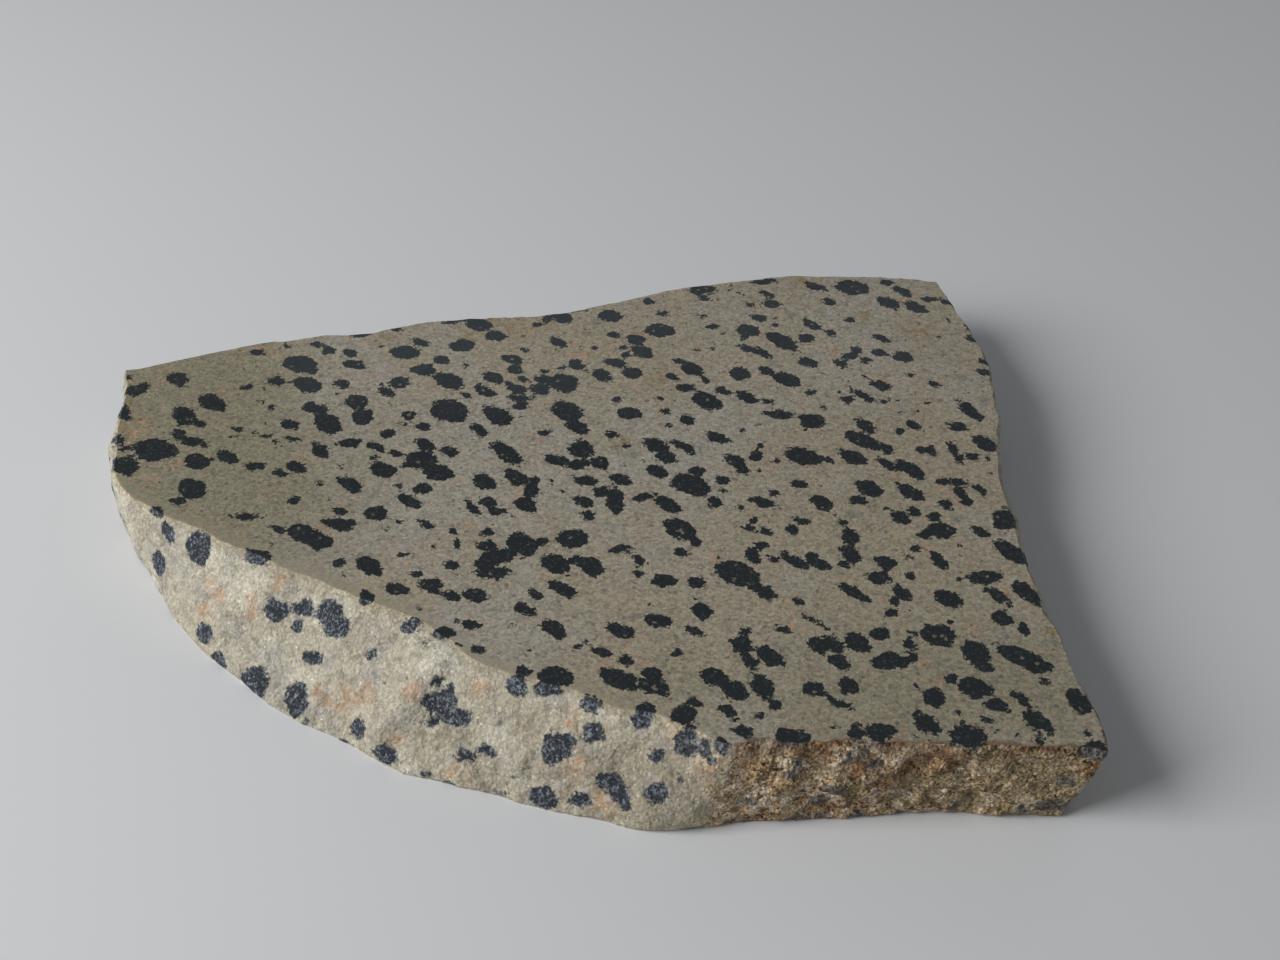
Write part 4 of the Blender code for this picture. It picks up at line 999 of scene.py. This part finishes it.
def sawn_material(settings):
    """The matte sawn cuts: fine salt-and-pepper grain, warm blushes and black spots."""
    material, shader, start = new_material("sawn stone")
    place = start.stone_places()
    across, back = place.axis("X"), place.axis("Y")
    salt, pepper = place.grains(SALT), place.grains(PEPPER)

    # Ground, paler in the middle, partly by a painted sheen, and browner at its ends
    soft = place.cloud(24.0, 1.0) * 0.6 + place.cloud(6.0, 3.0) * 0.4
    colour = start.colour(settings.sawn_cool).mix(settings.sawn_warm, soft.rise(0.42, 0.58))
    ground = start.attribute("ground") + place.cloud(9.0).swing(0.5)
    colour = colour.mix(settings.sawn_pale_and_sheen, ground.rise(0.0, 0.8) * 0.8)
    colour = colour.mix(settings.sawn_brown, ground.rise(-0.05, -0.9))

    # Blushes and ochre stains
    blush = place.cloud(5.0, 2.0, 0.6).rise(0.54, 0.7) * salt[1].rise(0.35, 0.9)
    blush = blush * place.cloud(0.9).rise(0.42, 0.6)
    colour = colour.mix(settings.blush, blush * 0.75)
    colour = colour.mix(settings.blush, pepper[2].rise(0.86, 0.96) * 0.4)
    ochre = start.attribute("ochre") * place.cloud(1.2, 3.0).rise(0.35, 0.6)
    colour = colour.mix(settings.ochre, ochre * 0.7)

    # Grain, weaker in the smooth band inside the broken rim
    rim = start.attribute("break_rim")
    band = (rim + place.cloud(2.5).swing(1.2)).rise(2.0, 0.6) * across.rise(18.0, 0.0)
    contrast = 1 - band * 0.4
    value = 1 + (salt[0].swing(0.4) + pepper[0].swing(0.4)) * contrast
    value = value * (1 - salt[2].rise(0.93, 0.97) * contrast * 0.3)
    colour = colour.shaded(value, CUT_BLUE)
    colour = colour.mix(settings.band, band * 0.35)

    # Tan line along the broken rim and rust along the crust's
    tan_line = (rim + place.cloud(0.8).swing(0.6)).rise(0.3, 0.0)
    colour = colour.mix(settings.rim_line, tan_line * 0.8)
    rust = (start.attribute("crust_rim") + place.cloud(1.8, 3.0).swing(2.4)).rise(0.45, -0.1)
    colour = colour.mix(settings.rust, rust * 0.65)

    # Spots, grey where they lie below the surface
    ghost = start.attribute("ghost") + place.cloud(1.0, 3.0, 0.6).swing(1.6)
    colour = colour.mix(settings.ghost, ghost.rise(0.35, -0.5) * 0.5)
    # Painted sheen pales the black towards the back and painted shade darkens it at the left end; the
    # soft noise pales some spots for real
    sheen_shade_and_paleness = back.rise(2.0, 26.0) * (0.9 - across.rise(2.0, 22.0) * 0.3)
    sheen_shade_and_paleness = sheen_shade_and_paleness + place.cloud(9.0, 1.0).swing(0.9) - across.rise(-26.0, -44.0) * 0.3
    spot_colour = start.colour(settings.spot).mix(settings.spot_pale_and_sheen, sheen_shade_and_paleness.rise(0.0, 1.0))
    spot_colour = spot_colour.mix(settings.spot_grain, pepper[1].rise(0.8, 0.95) * 0.4)
    black = spot_mask(start, place, settings, SAWN_SPOT_FADE)
    height = place.cloud(0.3, 2.0, 0.6) * 0.02 + salt[0] * 0.008
    put(shader, {
        "Base Color": colour.mix(spot_colour, black),
        "Roughness": 0.78 - black * 0.15 + salt[0].swing(0.08),
        "Normal": height.bump(0.6),
        "Specular IOR Level": STONE_SPECULAR,
    })
    return material


def crust_colour(start, place, settings, lumps, sugar, fine):
    """The brown crust of the joint face: pale lumps, dark hollows, and rust below its rim."""
    crumbs = place.grains(CRUMBS)
    colour = start.colour(settings.crust_brown).mix(settings.crust_dark, lumps.rise(0.53, 0.38))
    smooth_end = (place.axis("X") + place.cloud(5.0).swing(16.0)).rise(36.0, 47.0)
    olive = place.cloud(4.0).rise(0.5, 0.62) * 0.7
    colour = colour.mix(settings.crust_olive, olive.greater(smooth_end * 0.8))
    pale = place.cloud(2.6, 4.0, 0.65).rise(0.415, 0.575) * crumbs[0].rise(0.2, 0.6)
    colour = colour.mix(settings.crust_pale, pale * (1 - smooth_end * 0.6) * 0.85)
    rim = start.attribute("crust_rim")
    under_rim = (rim + place.cloud(0.9, 3.0).swing(1.6)).rise(1.4, 0.4)
    colour = colour.mix(settings.crust_dark, under_rim * 0.45)
    rust_line = (rim + place.cloud(1.7, 3.0).swing(2.2)).rise(0.8, 0.1)
    rust_line = rust_line * place.cloud(5.0).rise(0.46, 0.6)
    patches = start.attribute("rust") * 1.5 * place.cloud(0.9, 3.0, 0.6).rise(0.36, 0.56)
    rusted = rust_line.greater(patches) * (0.5 + crumbs[2] * 0.5)
    orange = place.cloud(1.5, 3.0).rise(0.48, 0.66)
    rust = start.colour(settings.rust).mix(settings.rust_light, orange)
    colour = colour.mix(rust, rusted.lesser(0.9))
    return colour.shaded(1 + crumbs[1].swing(0.3) + sugar[1].swing(0.85) + fine[1].swing(1.2))


def broken_material(settings):
    """The broken edge: sugary cream stone with stains, and the brown crust of the joint face."""
    material, shader, start = new_material("broken stone")
    place = start.stone_places()
    sugar, fine = place.grains(SUGAR), place.grains(FINE_SUGAR)
    lumps = place.cloud(1.3, 4.0, 0.7, 0.6)

    # Clean stone, paler and darker as its tones say, with tan grains; its paler places along the crest,
    # the spur and the upper rim are partly a painted highlight
    soft = place.cloud(3.2, 3.0, 0.6).rise(0.44, 0.66)
    colour = start.colour(settings.broken_cream).mix(settings.broken_grey, soft)
    tone = start.attribute("tone") * 0.2
    pale = (place.cloud(4.5) + tone).rise(0.54, 0.7)
    colour = colour.mix(settings.broken_pale_and_highlight, pale * 0.8)
    tan = (place.cloud(1.6, 4.0, 0.7) - tone).rise(0.46, 0.64) * (0.3 + sugar[1] * 0.7)
    colour = colour.mix(settings.broken_tan, tan * 0.75)

    # Stains, those of the table and stray ones, and the warm line below the rim
    stain = start.attribute("stain") * 1.3 * place.cloud(0.8, 3.0, 0.6).rise(0.38, 0.62)
    stray = place.cloud(2.4, 4.0, 0.65).rise(0.6, 0.74) * 0.5
    stained = stain.greater(stray) * (0.45 + sugar[2] * 0.75)
    colour = colour.mix(settings.stain, stained.lesser(0.65))
    rim_line = (start.attribute("break_rim") + place.cloud(1.2).swing(1.0)).rise(1.1, 0.1)
    colour = colour.mix(settings.rim_line, rim_line * 0.6)
    value = 1 + sugar[0].swing(0.32) + fine[0].swing(0.34) + fine[1].rise(0.93, 1.0) * 0.5
    colour = colour.shaded(value)

    # Crust, and the spots, which are weaker on it
    crust = start.attribute("crust") + place.cloud(3.5, 4.0, 0.65).swing(1.6)
    crust = (crust + sugar[1].swing(0.2)).rise(0.38, 0.95)
    colour = colour.mix(crust_colour(start, place, settings, lumps, sugar, fine), crust)
    sparkle = (sugar[2] * 0.5 + fine[2] * 0.7).rise(0.5, 1.15)
    spot_colour = start.colour(settings.spot_broken).mix(settings.spot_sparkle, sparkle)
    black = spot_mask(start, place, settings, BROKEN_SPOT_FADE) * (1 - crust * 0.3)

    height = place.cloud(0.4, 2.0, 0.7) * 0.12 + place.cloud(1.2, 2.0, 0.6) * 0.42
    height = height + sugar[0] * 0.03 - place.grain_shape(0.38) * 0.05
    height = height + (lumps * 0.14 - place.grain_shape(0.4) * 0.2) * crust
    put(shader, {
        "Base Color": colour.mix(spot_colour, black),
        "Roughness": 0.82 - fine[2].rise(0.9, 1.0) * 0.4,
        "Normal": height.bump(1.0),
        "Specular IOR Level": STONE_SPECULAR,
    })
    return material


def floor_material(settings):
    """The pale table top."""
    material, shader, _ = new_material("pale floor")
    put(shader, {"Base Color": (*settings.floor, 1.0), "Roughness": 0.9, "Specular IOR Level": 0.1})
    return material


def tint(name, description, default):
    """A colour that can be changed."""
    return bpy.props.FloatVectorProperty(
        name=name, description=description, default=default, subtype="COLOR", size=3, min=0.0, max=1.0
    )


def number(name, description, default, **limits):
    """A number that can be changed, with its limits and its unit."""
    return bpy.props.FloatProperty(name=name, description=description, default=default, **limits)


class StoneFinish(bpy.types.PropertyGroup):
    """Colours of the stone and how ragged its spots are."""

    sawn_cool: tint("Sawn, cool", "Cooler ground of the sawn cuts", (0.34, 0.315, 0.258))
    sawn_warm: tint("Sawn, warm", "Warmer ground of the sawn cuts", (0.325, 0.29, 0.212))
    # Paler stone and a painted sheen on the middle of the upper cut
    sawn_pale_and_sheen: tint("Sawn, light", "Paler middle of the sawn cuts", (0.375, 0.35, 0.285))
    sawn_brown: tint("Sawn, brown", "Browner ends of the sawn cuts", (0.24, 0.223, 0.155))
    band: tint("Rim band", "Smooth band inside the broken rim", (0.3, 0.262, 0.184))
    rim_line: tint("Rim line", "Thin tan line along the broken rim", (0.4, 0.33, 0.21))
    blush: tint("Blush", "Orange-pink grains of the sawn cuts", (0.47, 0.24, 0.14))
    ochre: tint("Ochre", "Ochre stains of the upper cut", (0.25, 0.165, 0.065))
    ghost: tint("Ghost", "Spots just below the surface", (0.13, 0.135, 0.13))
    spot: tint("Spot", "Black of the sawn spots", (0.0125, 0.0165, 0.018))
    # Paler black of the painted sheen on the far spots, and of spots that are really paler
    spot_pale_and_sheen: tint("Spot, pale", "Paler black of some sawn spots", (0.034, 0.043, 0.047))
    spot_grain: tint("Spot grain", "Grey grains in the sawn spots", (0.08, 0.09, 0.095))
    spot_broken: tint("Broken spot", "Black of the broken spots", (0.024, 0.03, 0.038))
    spot_sparkle: tint("Spot sparkle", "Grey grains in the broken spots", (0.2, 0.22, 0.25))
    broken_cream: tint("Broken, cream", "Main colour of the clean break", (0.468, 0.424, 0.326))
    broken_tan: tint("Broken, tan", "Tan grains of the clean break", (0.29, 0.236, 0.152))
    broken_grey: tint("Broken, grey", "Greyer parts of the clean break", (0.392, 0.372, 0.322))
    # The palest stone, and the painted highlight along the crest, the spur and the upper rim
    broken_pale_and_highlight: tint("Broken, pale", "Palest parts of the clean break", (0.6, 0.558, 0.448))
    stain: tint("Stain", "Orange-brown stains of the break", (0.49, 0.28, 0.15))
    crust_brown: tint("Crust, brown", "Main colour of the crust", (0.37, 0.245, 0.128))
    crust_dark: tint("Crust, dark", "Hollows of the crust", (0.11, 0.07, 0.038))
    crust_pale: tint("Crust, pale", "Pale lumps of the crust", (0.55, 0.45, 0.33))
    crust_olive: tint("Crust, olive", "Yellowish parts of the crust", (0.275, 0.217, 0.113))
    rust: tint("Rust", "Line along the crust's upper rim", (0.13, 0.055, 0.022))
    rust_light: tint("Rust, light", "Orange parts of the rust", (0.36, 0.19, 0.08))
    spot_lobes: number("Spot lobes", "How far soft noise moves a spot's outline, in mm", 0.95, min=0.0)
    spot_growth: number("Spot growth", "How much each spot is widened all round, in mm", 0.07)
    spot_ragged: number("Spot raggedness", "How far a grain moves a spot's outline, in mm", 0.26, min=0.0)


class StageSetup(bpy.types.PropertyGroup):
    """The floor, the lights and their strength."""

    floor: tint("Floor", "Colour of the floor", (0.72, 0.725, 0.73))
    floor_size: number("Floor size", "Side of the square floor", 8.0, unit="LENGTH", min=0.5)
    window_power: number("Window", "Power of the broad light at the left", 2.5, unit="POWER", min=0.0)
    back_power: number("Back", "Power of the weak light behind the slab", 0.5, unit="POWER", min=0.0)
    fill: number("Fill", "Strength of the even light from all round", 0.16, min=0.0)


def add_object(name, data, materials=()):
    """A new object of a mesh, a light or a camera, with its materials, in the scene."""
    for material in materials:
        data.materials.append(material)
    made = bpy.data.objects.new(name, data)
    bpy.context.scene.collection.objects.link(made)
    return made


def sharpen_rims(mesh):
    """Marks the edges along both rims as sharp, besides those that are by their angle."""
    mesh.set_sharp_from_angle(angle=np.radians(SHARP_ANGLE))
    ends = np.empty(len(mesh.edges) * 2, int)
    mesh.edges.foreach_get("vertices", ends)
    row = ends.reshape(-1, 2) // RING
    on_rim = (row == 0).all(axis=1) | (row == EDGE_ROWS).all(axis=1)
    sharp = np.empty(len(mesh.edges), bool)
    mesh.attributes["sharp_edge"].data.foreach_get("value", sharp)
    mesh.attributes["sharp_edge"].data.foreach_set("value", sharp | on_rim)


def slab_mesh(node):
    """The slab's surface as a mesh, with what its materials read stored at its points. The
    edge's faces are of the second material."""
    points, faces, edge = slab_surface(node)
    mesh = bpy.data.meshes.new("stone surface")
    mesh.from_pydata(((points - SHIFT) * MM).tolist(), [], faces.tolist())
    for name, value in surface_values(points, edge).items():
        layer = mesh.attributes.new(name, "FLOAT", "POINT")
        layer.data.foreach_set("value", value.astype(np.float32))
    on_edge = np.arange(len(faces)) < EDGE_ROWS * RING
    mesh.polygons.foreach_set("material_index", on_edge.astype(np.int32))
    mesh.update()
    mesh.shade_smooth()
    sharpen_rims(mesh)
    return mesh


class STONE_OT_slab(bpy.types.Operator):
    """Make the slab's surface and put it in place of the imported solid"""

    bl_idname = "stone.slab"
    bl_label = "Slab"

    def execute(self, context):
        settings = context.scene.stone_finish
        mesh = slab_mesh(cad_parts["stone_slab"])
        slab = add_object("stone_surface", mesh, [sawn_material(settings), broken_material(settings)])
        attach(slab, "root")
        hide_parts("stone_slab")
        return {"FINISHED"}


class STONE_OT_stage(bpy.types.Operator):
    """Make the floor, the lights and the camera"""

    bl_idname = "stone.stage"
    bl_label = "Stage"

    def execute(self, context):
        setup = context.scene.stone_stage
        half = setup.floor_size / 2
        corners = [(-half, -half, 0), (half, -half, 0), (half, half, 0), (-half, half, 0)]
        mesh = bpy.data.meshes.new("floor")
        mesh.from_pydata(corners, [], [(0, 1, 2, 3)])
        add_object("floor", mesh, [floor_material(setup)])
        for light, power in zip(LIGHTS, (setup.window_power, setup.back_power)):
            self.light(*light, power)
        self.room(context.scene, setup.fill)
        self.camera(context.scene)
        return {"FINISHED"}

    def light(self, name, place, size, colour, power):
        """A broad light at a place, turned to the slab."""
        data = bpy.data.lights.new(name, "AREA")
        data.shape = "RECTANGLE"
        data.size, data.size_y = size
        data.energy = power
        data.color = colour
        lamp = add_object(name, data)
        lamp.location = place
        x, y, z = place
        lamp.rotation_euler = (np.arctan2(np.hypot(x, y), z), 0, np.arctan2(y, x) + np.pi / 2)

    def room(self, scene, strength):
        """Even light from all round."""
        world = bpy.data.worlds.new("room")
        world.use_nodes = True
        put(world.node_tree.nodes["Background"], {"Color": ROOM_COLOUR, "Strength": strength})
        scene.world = world
        scene.view_settings.view_transform = "Standard"

    def camera(self, scene):
        """The camera, which looks down along +Y."""
        data = bpy.data.cameras.new("camera")
        data.sensor_width = SENSOR_WIDTH
        data.lens = CAMERA_LENS
        data.clip_start = CLIP_START
        camera = add_object("camera", data)
        camera.location = (np.array(CAMERA_PLACE) - SHIFT) * MM
        camera.rotation_euler = (np.radians(90 - CAMERA_PITCH), 0, 0)
        scene.camera = camera


class STONE_PT_panel(bpy.types.Panel):
    """Lists the stone's operators and settings"""

    bl_label = "Dalmatian stone"
    bl_space_type = "VIEW_3D"
    bl_region_type = "UI"
    bl_category = "Stone"

    def draw(self, context):
        self.layout.operator("stone.slab")
        self.layout.operator("stone.stage")
        for group in (context.scene.stone_finish, context.scene.stone_stage):
            for name in group.__annotations__:
                self.layout.prop(group, name)


CLASSES = (StoneFinish, StageSetup, STONE_OT_slab, STONE_OT_stage, STONE_PT_panel)


def register():
    for each in CLASSES:
        bpy.utils.register_class(each)
    bpy.types.Scene.stone_finish = bpy.props.PointerProperty(type=StoneFinish)
    bpy.types.Scene.stone_stage = bpy.props.PointerProperty(type=StageSetup)


def unregister():
    del bpy.types.Scene.stone_stage
    del bpy.types.Scene.stone_finish
    for each in reversed(CLASSES):
        bpy.utils.unregister_class(each)


def main():
    register()
    bpy.ops.stone.slab()
    bpy.ops.stone.stage()


if __name__ == "__main__":
    main()
